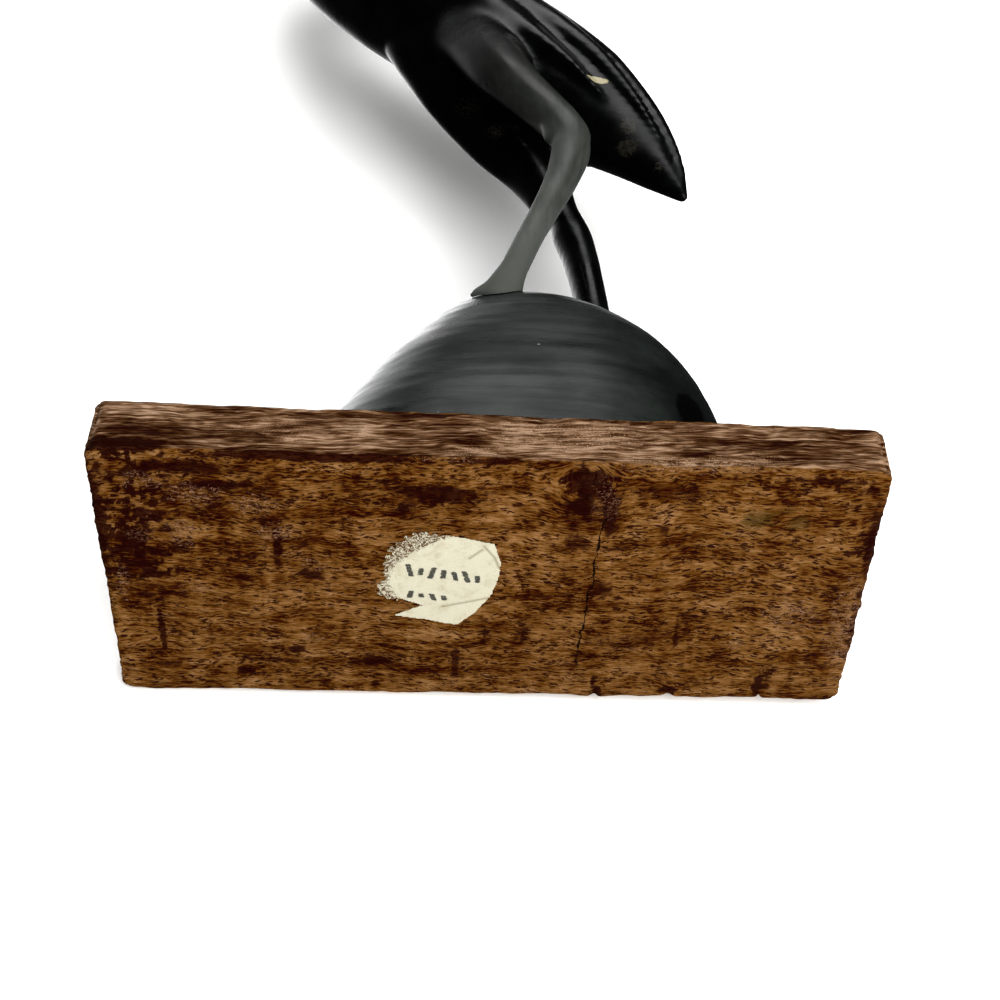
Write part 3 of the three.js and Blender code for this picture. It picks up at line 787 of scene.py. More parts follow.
@dataclass
class WoodenBase:
    """The sawn board under the mound, with its knot, cracks, splinters, stained places and painted shade
    along its edges, beside the crack and in its notches.
    """

    length: float = 84.6
    width: float = 39.2
    thick: float = 7.4
    end_wear: float = 0.3
    corner: float = 1.6
    far_edge_taper: float = 1.5
    top_fall: float = 0.4
    arris: float = 0.45
    underside: float = 0.16
    knot: Knot = Knot()
    knot_softness: float = 1.5
    knot_sink: float = 0.14
    # Cuts of the net along X, Y and Z, and how much closer it gets near the edges
    net_cuts: Net = (250, 118, 26)
    crowding: tuple[float, float, float] = (0.3, 0.5, 0.4)
    # How deep the relief is on the flats, the torn sides and the sawn ends, and how far in it reaches
    flat_relief: float = 0.07
    mean_relief: float = 0.09
    side_relief: float = 0.24
    end_relief: float = 0.13
    flat_reach: float = 0.3
    side_reach: float = 0.8
    # The splinters of the right end: their middle's height, how tall they are, and each one's place along Y,
    # width and length
    splinter_height: float = 1.6
    splinter_tall: float = 2.4
    splinters: tuple[tuple[float, float, float], ...] = ((-6.5, 2.4, 0.6), (1.5, 1.8, 0.7), (6.8, 1.6, 0.5))
    # Notches of the far edge: place along X, width and depth, of which no more than the limit is cut
    notch_limit: float = 0.8
    notches: tuple[tuple[float, float, float], ...] = ((13.4, 1.1, 2.4), (22.2, 1.9, 1.3), (32.9, 0.9, 3.2))
    # Chips of the near lower edge: place along X, half length and depth
    chips: tuple[tuple[float, float, float], ...] = ((-27.0, 3.2, 0.5), (20.8, 4.6, 0.9), (4.0, 2.5, 0.35))
    worn: tuple[Mark, ...] = (
        Mark(-36.4, -14.8, 2.4, 1.2),
        Mark(-31.0, -12.9, 3.2, 1.8),
        Mark(-24.8, -11.8, 2.5, 1.6),
        Mark(-33.0, -7.5, 1.5, 2.5),
        Mark(-22.8, -7.8, 2.4, 1.5),
        Mark(-19.0, -2.6, 1.8, 1.4, 0.7),
        Mark(-37.6, -6.6, 1.6, 1.2, 0.7),
        Mark(-32.4, 1.5, 1.8, 1.2, 0.8),
        Mark(-40.2, 0.6, 0.9, 3.0, 0.8),
        Mark(-19.6, 9.3, 1.4, 0.9, 0.7),
        Mark(12.6, -14.0, 2.0, 4.0, 0.55),
        Mark(35.0, 3.2, 3.6, 2.6, 0.8),
        Mark(28.8, 8.5, 1.6, 1.0, 0.8),
        Mark(41.0, 4.5, 2.4, 8.0, 0.9),
        Mark(20.3, -19.1, 8.6, 1.0),
        Mark(-4.0, -19.3, 5.0, 0.7, 0.6),
    )
    # Red-brown marks of the underside; some of them are painted shade, as noted below
    stains_and_shade: tuple[Mark, ...] = (
        Mark(-32.0, -16.8, 7.0, 1.5, 0.8),
        Mark(-29.0, -14.4, 5.0, 0.8, 0.9),
        Mark(-38.5, -6.3, 2.2, 1.8, 0.9),
        Mark(-37.6, -2.2, 3.0, 0.9, 0.8),
        Mark(-36.5, -10.2, 3.0, 0.5, 0.8),
        Mark(-22.7, -5.8, 0.5, 4.6, 1.1),
        Mark(-19.4, -1.2, 2.0, 1.3, 0.9),
        Mark(-24.5, -4.0, 4.0, 0.5, 0.7),
        Mark(-36.6, 8.6, 0.42, 5.0, 1.1),
        Mark(-37.9, 3.0, 1.4, 0.6, 1.0),
        Mark(-37.0, 14.6, 2.2, 0.9, 0.7),
        Mark(-31.0, 9.0, 0.3, 2.6, 0.5),
        Mark(-21.7, 11.4, 1.3, 0.8, 1.0),
        Mark(-25.5, 13.4, 4.0, 0.4, 0.7),
        Mark(-27.5, 15.4, 1.2, 0.6, 0.7),
        Mark(-12.0, 13.0, 3.6, 1.5, 0.75),
        Mark(-5.0, -14.2, 6.5, 1.5, 0.8),
        Mark(-8.5, -12.2, 1.4, 2.2, 0.6),
        Mark(3.0, -12.8, 1.3, 0.4, 0.95),
        Mark(-3.1, 13.3, 0.6, 3.9, 0.85),
        Mark(0.2, 8.4, 0.5, 1.5, 0.9),
        Mark(4.6, 7.8, 0.5, 1.6, 0.9),
        Mark(6.8, 1.2, 3.6, 0.5, 0.8),
        Mark(13.0, 0.2, 1.4, 2.0, 0.7),
        Mark(22.0, 7.0, 0.35, 2.4, 0.9),
        # Painted shadow beside the crack
        Mark(16.0, 8.6, 3.8, 1.8, 0.5),
        Mark(33.4, 14.8, 0.55, 2.6, 0.95),
        Mark(35.9, 13.5, 0.4, 1.0, 0.7),
        Mark(20.0, -15.4, 5.0, 1.2, 0.55),
        Mark(19.0, -9.6, 0.9, 1.0, 0.7),
        Mark(35.5, -17.6, 5.0, 0.8, 0.7),
        Mark(40.3, -16.5, 0.9, 0.6, 1.0),
        Mark(42.0, -9.0, 1.5, 6.5, 0.9),
        Mark(42.0, 4.0, 0.8, 7.0, 0.8),
        Mark(-42.0, -9.0, 1.3, 9.0, 1.1),
        # Painted shade: a dark line along the near arris
        Mark(-18.0, -18.8, 13.0, 0.6, 1.3),
        Mark(-38.2, -19.3, 4.2, 0.5, 1.2),
        Mark(-0.8, -19.0, 5.0, 0.5, 0.9),
        Mark(10.4, -16.2, 2.6, 2.4, 1.7),
        Mark(12.9, -12.4, 1.1, 4.2, 1.2),
        Mark(10.0, -12.8, 1.6, 1.6, 1.0),
        Mark(14.3, -6.6, 2.2, 0.35, 0.9),
        Mark(9.5, -7.4, 1.3, 1.8, 0.7),
        # A thin darker line along the far edge
        Mark(0.0, 19.3, 42.0, 0.4, 0.6),
        # Painted shade in the far edge's notches
        Mark(13.6, 17.8, 0.6, 1.5, 1.4),
        Mark(13.2, 15.6, 0.3, 1.6, 1.2),
        Mark(22.0, 17.0, 1.6, 0.7, 1.2),
        Mark(32.4, 15.6, 0.6, 2.6, 1.2),
    )
    # Dirty parts of the underside, where dark flecks lie close together
    dirt: tuple[Mark, ...] = (
        Mark(-29.0, -13.0, 12.0, 5.5, 1.0),
        Mark(-38.0, -3.0, 5.0, 8.0, 1.0),
        Mark(-27.0, -3.0, 10.0, 4.0, 0.7),
        Mark(-19.0, -6.0, 4.0, 6.0, 0.7),
        Mark(-10.0, -14.0, 9.0, 4.5, 0.8),
        Mark(6.0, -17.5, 6.0, 2.0, 0.7),
        Mark(10.5, -12.0, 4.5, 5.0, 0.9),
        Mark(8.0, 1.5, 5.5, 4.5, 0.7),
        Mark(-11.0, 13.5, 7.0, 3.5, 0.5),
        Mark(4.0, 10.0, 6.0, 5.0, 0.5),
        Mark(-26.0, 14.0, 8.0, 3.0, 0.6),
        Mark(22.0, -16.5, 14.0, 2.6, 0.6),
        Mark(41.0, -6.0, 3.5, 11.0, 0.8),
        Mark(16.5, 4.5, 5.0, 5.0, 0.3),
    )
    porous: tuple[Mark, ...] = (Mark(28.5, 0.0, 13.0, 12.0, 1.0), Mark(-24.0, 8.0, 14.0, 9.0, 0.35))
    olive: tuple[Mark, ...] = (
        Mark(29.0, -11.7, 1.9, 1.5),
        Mark(33.4, -11.4, 1.1, 1.2, 0.85),
        Mark(32.0, -13.2, 1.2, 0.4, 0.7),
    )
    # Pale torn places on the near side, by X and height
    pale: tuple[Mark, ...] = (
        Mark(10.6, 4.6, 6.5, 2.8, 1.0),
        Mark(3.0, 4.0, 4.0, 2.6, 0.7),
        Mark(-22.0, 4.0, 4.0, 2.0, 0.6),
        Mark(28.0, 1.5, 3.0, 1.2, 0.8),
        Mark(20.5, 0.9, 7.5, 1.0, 0.8),
        Mark(-2.0, 1.4, 4.0, 1.0, 0.7),
    )
    # Dark dirt on the near side, by X and height; the marks lower than 1 mm are painted shade along the near
    # arris
    sooty_and_shade: tuple[Mark, ...] = (
        Mark(-38.2, 0.8, 4.8, 1.1, 1.5),
        Mark(-24.6, 2.4, 3.0, 0.8, 0.8),
        Mark(-9.5, 0.7, 3.0, 0.4, 0.9),
        Mark(21.0, 1.7, 2.2, 0.5, 1.0),
        Mark(-33.0, 3.2, 8.0, 1.2, 0.6),
        Mark(30.0, 4.0, 10.0, 1.0, 0.4),
    )

    def top_at(self, x: float) -> float:
        """Gives the height of the board's top at x."""
        return self.thick - self.top_fall * x / (self.length / 2)

    def block(self) -> bmesh.types.BMesh:
        """Makes the plain board, cut into a fine net that is closer near the edges.

        Returns:
            The net as a box from -1 to 1 along X and Y, and from 0 to 1 along Z.
        """
        bm = bmesh.new()
        bmesh.ops.create_cube(bm, size=2)
        bmesh.ops.translate(bm, verts=bm.verts, vec=(0, 0, 1))
        bmesh.ops.scale(bm, verts=bm.verts, vec=(1, 1, 0.5))
        for axis, cuts in enumerate(self.net_cuts):
            lengthwise = [e for e in bm.edges if abs(e.verts[0].co[axis] - e.verts[1].co[axis]) > 1e-5]
            bmesh.ops.subdivide_edges(bm, edges=lengthwise, cuts=cuts, use_grid_fill=True)
        for vert in bm.verts:
            x, y, z = vert.co
            z = 2 * z - 1
            vert.co.x = x + self.crowding[0] * math.sin(math.pi * x) / math.pi
            vert.co.y = y + self.crowding[1] * math.sin(math.pi * y) / math.pi
            vert.co.z = 0.5 + 0.5 * (z + self.crowding[2] * math.sin(math.pi * z) / math.pi)
        return bm

    def rounded(self, a: float, b: float, radius: float) -> tuple[float, float]:
        """Rounds an edge where two faces meet.

        Args:
            a: The distance in from the first face.
            b: The distance in from the second face.
            radius: The edge's radius.

        Returns:
            How far the place moves in from each face.
        """
        if a >= radius or b >= radius:
            return 0.0, 0.0
        over_a, over_b = radius - a, radius - b
        share = 1 - max(over_a, over_b) / math.hypot(over_a, over_b)
        return over_a * share, over_b * share

    def bent(self, x: float, y: float) -> float:
        """Gives the grain's own coordinate across the board, which bends round the knot."""
        from_x, from_y = x - self.knot.x, y - self.knot.y
        return from_y * (1 - self.knot.radius**2 / (from_x**2 + from_y**2 + self.knot_softness))

    def worn_edge(self, x: float) -> float:
        """Gives the near lower edge's radius at x, larger at its chips."""
        chips = sum(deep * ease(1.6 - 1.6 * abs(x - at) / half) for at, half, deep in self.chips)
        edge = self.arris * (1.2 + 0.8 * rough(x * 0.35, 4.2, 0.0))
        return edge + chips * (1 + 0.5 * rough(x * 0.8, 0.0, 3.0))

    def notch(self, x: float, in_y: float, part: float) -> float:
        """Gives how far the far edge's notches push a place inwards.

        Args:
            x: The place along the board.
            in_y: How far it is from the far edge.
            part: Its part of the board's thickness.

        Returns:
            The push, which fades away inside the board.
        """
        deepest = 0.0
        for at, wide, deep in self.notches:
            narrow = 1 - abs(x - at + 0.25 * in_y) / (wide / 2)
            deepest = max(deepest, min(deep, self.notch_limit) * clamp(narrow) * ease(1.1 - part / 0.6))
        return deepest * clamp(1 - in_y / (2 * deepest)) if deepest else 0.0

    def place(self, vert: bmesh.types.BMVert) -> None:
        """Moves a vertex of the net to its place on the worn board."""
        u, v, w = vert.co
        x, y = u * self.length / 2, v * self.width / 2
        top = self.top_at(x)
        z = w * top
        in_x, in_y = self.length / 2 - abs(x), self.width / 2 - abs(y)
        out_x, out_y = math.copysign(1, x), math.copysign(1, y)
        plan_x, plan_y = self.rounded(in_x, in_y, self.corner)
        if y < 0 and z < top / 2:
            arris = self.worn_edge(x)
        else:
            arris = self.arris * (1 + 0.6 * rough(x * 0.4, y * 0.4, 7.0))
        level = min(z, top - z)
        side_y, side_z = self.rounded(in_y, level, arris)
        end_x, end_z = self.rounded(in_x, level, self.arris * (1 + 0.8 * rough(3.0, y * 0.5, z)))
        across = self.bent(x, y)
        furrow = rough(x * 0.05, across * 0.8, z * 0.8) + 0.6 * rough(x * 0.2, across * 1.9, z * 1.9)
        dents = rough(x * 0.5, y * 0.8, 11.0)
        torn = rough(x * 0.1, 9.0 + y * 0.5, z * 1.1) + 0.8 * rough(x * 0.3, y, z * 2.2)
        torn += 0.5 * rough(x * 0.9, y, z * 3.0)
        ragged = rough(5.0, y * 0.9, z * 0.4) + 0.8 * rough(8.0, y * 2.2, z * 1.2)
        ragged += 0.4 * rough(x, y * 4.0, z * 2.0)

        wear_x = self.end_wear * 0.5 * (1 + wander(y, 1.7 + out_x)) * u**8
        wear_y = self.end_wear * 0.5 * (1 + wander(x, 0.6 + out_y)) * v**8
        taper = self.far_edge_taper * (0.5 + u / 2) * v if y > 0 else 0.0
        at_side, at_end = ease(1 - in_y / self.side_reach), ease(1 - in_x / self.side_reach)
        at_flat = 1 - ease(level / self.flat_reach)
        splinter = sum(out * max(0, 1 - abs(y - at) / (wide / 2)) for at, wide, out in self.splinters)
        on_right_end = in_x < self.flat_reach and x > 0
        stand = splinter * ease(on_right_end * (1 - abs(z - self.splinter_height) / self.splinter_tall))
        end_cut = at_end * self.end_relief * max(0.0, 0.8 + ragged)
        side_cut = at_side * (1 - 0.5 * at_flat) * self.side_relief * max(0.0, 0.9 + torn)
        move_x = plan_x + end_x + 0.6 * wear_x + end_cut - stand
        move_y = plan_y + side_y + wear_y + side_cut
        if y > 0:
            move_y += self.notch(x, in_y, w)
        relief = at_flat * self.flat_relief * (1.3 + furrow + 0.8 * dents)
        knot_away = math.hypot(x - self.knot.x, across) / self.knot.radius
        relief += at_flat * self.knot_sink * ease(1.3 - knot_away) * (1 + rough(x, y, 2.0))
        x -= out_x * max(0.0, move_x)
        y -= out_y * max(0.0, move_y) + taper
        if w < 0.5:
            z += side_z + end_z + max(0.0, relief + (self.underside - self.mean_relief) * at_flat)
        else:
            z -= side_z + end_z + max(0.0, relief)
        vert.co = (x, y, z)

    def paint(self, clay: Clay) -> None:
        """Paints the stained and rubbed places on the board's vertices, with painted shade at the edges,
        beside the crack and in the notches.
        """
        flat_marks = {
            "stain_and_shade": self.stains_and_shade,
            "dirt": self.dirt,
            "worn": self.worn,
            "olive": self.olive,
            "porous": self.porous,
        }
        rows = {name: [] for name in (*flat_marks, "pale", "rim")}
        for x, y, z in clay.points:
            ragged = 0.5 * rough(x * 0.7, y * 0.9, 1.0) + 0.4 * rough(x * 1.9, y * 2.3, 5.0)
            inside = min(z - self.underside, self.top_at(x) - z)
            rim = ease(inside / 0.5 + 0.3 * ragged)
            found = dict.fromkeys(rows, 0.0)
            found["rim"] = rim
            if rim < 1 and z < self.thick / 2:
                for name, marks in flat_marks.items():
                    found[name] = marked(marks, x, y, ragged)
            if rim > 0 and y < 0:
                ragged = 0.5 * rough(x * 0.5, y, z * 1.3) + 0.4 * rough(x * 1.4, y, z * 3.0)
                found["pale"] = marked(self.pale, x, z, ragged)
                found["stain_and_shade"] = max(found["stain_and_shade"], marked(self.sooty_and_shade, x, z, ragged))
            for name, value in found.items():
                rows[name].append(value)
        for name, values in rows.items():
            clay.attribute(name, np.array(values))

    def build(self) -> bpy.types.Object:
        """Builds the board."""
        bm = self.block()
        for vert in bm.verts:
            self.place(vert)
        mesh = mesh_of(bm, "sawn_board")
        self.paint(Clay(mesh))
        return placed(mesh, "sawn_board", "wooden_base", OldWood(self.knot).material())


# The paper label


@dataclass
class PaperLabel:
    """The torn label, a thin sheet with frayed edges, a folded corner and smudges of ink."""

    corners: tuple[tuple[float, float], ...] = (
        (-7.1, -8.5),
        (-2.0, -7.6),
        (0.9, -6.9),
        (1.7, -4.0),
        (1.6, -2.0),
        (0.8, 1.2),
        (-1.0, 4.2),
        (-3.0, 6.4),
        (-6.5, 5.6),
        (-10.2, 5.0),
        (-6.9, 3.2),
        (-9.1, 2.4),
        (-10.9, 2.2),
        (-12.2, 0.9),
        (-11.0, -1.0),
        (-11.2, -3.0),
        (-10.3, -5.9),
        (-8.8, -7.3),
    )
    thick: float = 0.07
    level: float = 0.03
    net: float = 0.13
    # The worn left edge: its place along X where it reaches furthest, that place along Y, its bend, and the
    # height along Y at which the fraying ends
    fray_reach: float = 3.2
    fray_edge: float = -12.2
    fray_middle: float = -0.6
    fray_bend: float = 0.13
    fray_end: float = 3.3
    # How far the torn outline wanders, and how much further it does so where the paper is frayed
    torn_depth: float = 0.08
    frayed_depth: float = 0.8
    buckle: float = 0.03
    crease_depth: float = 0.05
    crease_half: float = 0.14
    # The two rows of worn ink: each one's middle, how many strokes it has and how tall they are
    rows: tuple[tuple[float, float, int, float], ...] = ((-4.6, -1.9, 7, 2.3), (-6.4, 1.7, 4, 1.5))
    stroke_gap: float = 1.25
    stroke_half: float = 0.34
    folds: tuple[tuple[tuple[float, float], tuple[float, float]], ...] = (
        ((0.7, 1.6), (-4.7, 3.3)),
        ((-0.2, -6.5), (1.0, -4.8)),
        ((1.0, -4.8), (1.5, -3.2)),
        ((-0.4, -6.0), (-1.8, -4.6)),
    )

    def inside(self, x: float, y: float) -> float:
        """Gives how far a place is inside the torn outline, below 0 outside it."""
        within = False
        nearest = math.inf
        place = Vector((x, y))
        for (ax, ay), (bx, by) in zip(self.corners, self.corners[1:] + self.corners[:1]):
            if (ay > y) != (by > y) and x < (bx - ax) * (y - ay) / (by - ay) + ax:
                within = not within
            one, along = Vector((ax, ay)), Vector((bx - ax, by - ay))
            share = clamp((place - one).dot(along) / along.length_squared)
            nearest = min(nearest, (place - one - along * share).length)
        return nearest if within else -nearest

    def fray(self, x: float, y: float) -> float:
        """Gives how frayed the paper is, from 1 at the worn left edge to 0 further in."""
        edge = self.fray_edge + self.fray_bend * (y - self.fray_middle) ** 2
        return ease(1 - (x - edge) / self.fray_reach) * ease((self.fray_end - y) / 0.5)

    def ink(self, x: float, y: float) -> float:
        """Gives the ink at a place: two rows of short strokes that are no letters."""
        best = 0.0
        for mid_x, mid_y, strokes, tall in self.rows:
            for k in range(strokes):
                at = mid_x + (k - (strokes - 1) / 2) * self.stroke_gap
                lean = 0.3 * math.sin(5.1 * k + strokes)
                half = tall / 2 * (0.8 + 0.2 * math.cos(2.7 * k))
                row_y = mid_y + 0.14 * (at - mid_x) + 0.1 * math.sin(3.3 * k)
                off_x = abs(x - at - lean * (y - row_y))
                across = ease(1.5 - off_x / self.stroke_half)
                best = max(best, across * ease((half - abs(y - row_y)) / 0.25))
        return best

    def crease(self, x: float, y: float) -> float:
        """Gives how near a place is to the folds of the paper."""
        nearest = math.inf
        for (ax, ay), (bx, by) in self.folds:
            along_x, along_y = bx - ax, by - ay
            share = clamp(((x - ax) * along_x + (y - ay) * along_y) / (along_x**2 + along_y**2))
            nearest = min(nearest, math.hypot(x - ax - along_x * share, y - ay - along_y * share))
        return math.exp(-((nearest / self.crease_half) ** 2))

    def build(self) -> bpy.types.Object:
        """Builds the label: a fine net trimmed to the torn outline, creased and given its thickness."""
        bm = bmesh.new()
        low = Vector(map(min, zip(*self.corners)))
        high = Vector(map(max, zip(*self.corners)))
        size, middle = high - low, (low + high) / 2
        cells = [max(2, round(extent / self.net)) for extent in size]
        bmesh.ops.create_grid(bm, x_segments=cells[0], y_segments=cells[1], size=0.5)
        bmesh.ops.scale(bm, verts=bm.verts, vec=(size.x, size.y, 1))
        bmesh.ops.translate(bm, verts=bm.verts, vec=(middle.x, middle.y, 0))
        outside = []
        for face in bm.faces:
            x, y, _ = face.calc_center_median()
            torn = self.torn_depth * rough(x * 3.1, y * 3.1, 0.5)
            torn += self.frayed_depth * self.fray(x, y) * rough(x * 1.9, y * 1.9, 8.0)
            if self.inside(x, y) + torn < 0:
                outside.append(face)
        bmesh.ops.delete(bm, geom=outside, context="FACES")
        edge = [v for v in bm.verts if v.is_boundary]
        in_plane = {"use_axis_x": True, "use_axis_y": True, "use_axis_z": False}
        bmesh.ops.smooth_vert(bm, verts=edge, factor=0.5, **in_plane)
        for vert in bm.verts:
            x, y, _ = vert.co
            buckle = self.buckle * (1 + rough(x * 0.3, y * 0.3, 3.0))
            vert.co.z = self.level + max(0.0, buckle - self.crease_depth * self.crease(x, y))
        grown = bmesh.ops.extrude_face_region(bm, geom=bm.faces[:])
        risen = [item for item in grown["geom"] if isinstance(item, bmesh.types.BMVert)]
        bmesh.ops.translate(bm, verts=risen, vec=(0, 0, self.thick))
        bmesh.ops.recalc_face_normals(bm, faces=bm.faces)
        mesh = mesh_of(bm, "torn_label")
        clay = Clay(mesh)
        for name, at in (("fray", self.fray), ("ink", self.ink), ("crease", self.crease)):
            clay.attribute(name, np.array([at(x, y) for x, y, _ in clay.points]))
        piece = placed(mesh, "torn_label", "paper_label", CreamPaper().material())
        mesh.set_sharp_from_angle(angle=math.radians(PAPER_SHARP))
        return piece


# The horn mound


@dataclass(frozen=True)
class Spot:
    """A round or oval spot at a place in space, for marks on the bird."""

    place: tuple[float, float, float]
    half: tuple[float, float, float]
    strength: float = 1.0

    def at(self, points: np.ndarray) -> np.ndarray:
        """Gives the spot's strength at each point."""
        away = np.linalg.norm((points - np.array(self.place)) / np.array(self.half), axis=1)
        part = np.clip(SPOT_REACH - away, 0, 1)
        return self.strength * part * part * (3 - 2 * part)


def spotted(spots: Sequence[Spot], points: np.ndarray) -> np.ndarray:
    """Gives the strongest of several spots at each point."""
    return np.max([spot.at(points) for spot in spots], axis=0)


@dataclass
class HornMound:
    """The dome of horn that the bird stands on."""

    foot: float = 7.2
    crest: float = 46.6
    bottom: float = 7.4
    half_width: float = 13.6
    shoulder: float = 3.0
    plan_round: float = 0.85
    fall: float = 0.4 / 42.3
    # Faces round and along the finished mound, and along the plainer one that cuts the feet
    wall_net: tuple[int, int] = (240, 220)
    seat_net: tuple[int, int] = (120, 120)
    # How deep the file went: in broad flats, in strokes, and in the tooled band that fades away at a height
    broad_cut: float = 0.22
    stroke_cut: float = 0.05
    tooled_cut: float = 0.16
    tooled_top: float = 14.0
    tooled_fade: float = 6.0
    plain_foot: float = 0.3
    # A painted dark reflection on the mound's lower right end
    dark_reflection_spots: tuple[Spot, ...] = (Spot((23.3, -9.4, 20.0), (1.9, 3.0, 3.4)),)
    # Where the two ends stand at parts of the height, from the board to the crest
    ends: tuple[tuple[float, float, float], ...] = (
        (0.0, -24.0, 28.2),
        (0.18, -22.6, 29.0),
        (0.36, -19.9, 28.7),
        (0.55, -16.1, 26.9),
        (0.72, -12.2, 23.6),
        (0.86, -8.6, 18.4),
        (0.95, -5.2, 11.4),
        (1.0, -0.6, 0.8),
    )

    def between(self, part: float, column: int) -> float:
        """Gives a smooth value between the rows of ends.

        Args:
            part: The part of the height.
            column: 1 for the low end and 2 for the high one.

        Returns:
            The end's place along X.
        """
        last = len(self.ends) - 1
        k = max((i for i in range(last) if self.ends[i][0] <= part), default=0)
        one, two = self.ends[k], self.ends[k + 1]
        span = two[0] - one[0]
        t = clamp((part - one[0]) / span)

        def slope(i: int) -> float:
            """Gives the slope at a row, from its neighbours."""
            before, after = self.ends[max(i - 1, 0)], self.ends[min(i + 1, last)]
            return (after[column] - before[column]) / (after[0] - before[0]) * span

        return (
            (2 * t**3 - 3 * t**2 + 1) * one[column]
            + (t**3 - 2 * t**2 + t) * slope(k)
            + (3 * t**2 - 2 * t**3) * two[column]
            + (t**3 - t**2) * slope(k + 1)
        )

    def shell(self, around: int, along: int, margin: float = 0.0) -> bmesh.types.BMesh:
        """Makes the mound from a sphere: its upper half is the wall, and its lower half the flat foot.

        Args:
            around: Faces round the mound.
            along: Faces from the crest to the middle of the foot.
            margin: How much larger than the mound the shell is.

        Returns:
            The shell, in millimetres.
        """
        bm = bmesh.new()
        bmesh.ops.create_uvsphere(bm, u_segments=around, v_segments=along, radius=1)
        rows: dict[float, tuple[float, float, float]] = {}
        for vert in bm.verts:
            level = round(max(0.0, vert.co.z), 6)
            reach = math.hypot(vert.co.x, vert.co.y) if vert.co.z < 0 else float(vert.co.z < 1 - 1e-6)
            turn = math.atan2(vert.co.y, vert.co.x)
            z = self.foot + level * (self.crest - self.foot)
            part = clamp((z - self.bottom) / (self.crest - self.bottom))
            if level not in rows:
                rows[level] = (self.between(part, 1) - margin, self.between(part, 2) + margin, part)
            low, high, part = rows[level]
            half = self.half_width * max(0.0, 1 - part**self.shoulder) ** (1 / self.shoulder) + margin
            across = [math.copysign(abs(v) ** self.plan_round, v) for v in (math.cos(turn), math.sin(turn))]
            x = (low + high) / 2 + (high - low) / 2 * reach * across[0]
            y = half * reach * across[1]
            z += margin * part - self.fall * x * (1 - part)
            vert.co = (x, y, z)
        bm.normal_update()
        wall = [v for v in bm.verts if v.co.z > self.bottom + self.plain_foot]
        moves = [v.normal * -self.file_mark(v.co) for v in wall]
        for vert, move in zip(wall, moves):
            vert.co += move
        return bm

    def file_mark(self, place: Vector) -> float:
        """Gives how deep the file went at a place."""
        x, y, z = place
        broad = self.broad_cut * (1 + rough(x * 0.07, y * 0.1, z * 0.1))
        stroke = self.stroke_cut * (1 + rough(x * 0.05, y * 0.5, z * 0.7))
        band = self.tooled_cut * ease((self.tooled_top - z) / self.tooled_fade)
        return broad + stroke + band * (1 + rough(x * 0.22, y * 0.3, z * 0.9))

    def build(self) -> bpy.types.Object:
        """Builds the mound."""
        mesh = mesh_of(self.shell(*self.wall_net), "filed_mound")
        clay = Clay(mesh)
        # The painted dark reflection
        clay.attribute("dark", spotted(self.dark_reflection_spots, clay.points))
        piece = placed(mesh, "filed_mound", "horn_mound", GreyHorn().material())
        mesh.set_sharp_from_angle(angle=math.radians(HORN_SHARP))
        return piece


# The bird


@dataclass(frozen=True)
class Feather:
    """A long feather of a folded wing, which lies on the trunk between two parts of its run.

    The angle is its turn from the middle of the back at the tip, in degrees, and the drift is what the turn
    changes by up to the root.
    """

    angle: float
    tip: float
    root: float
    wide: float
    proud: float
    drift: float


HEAD_TOP = 198.4


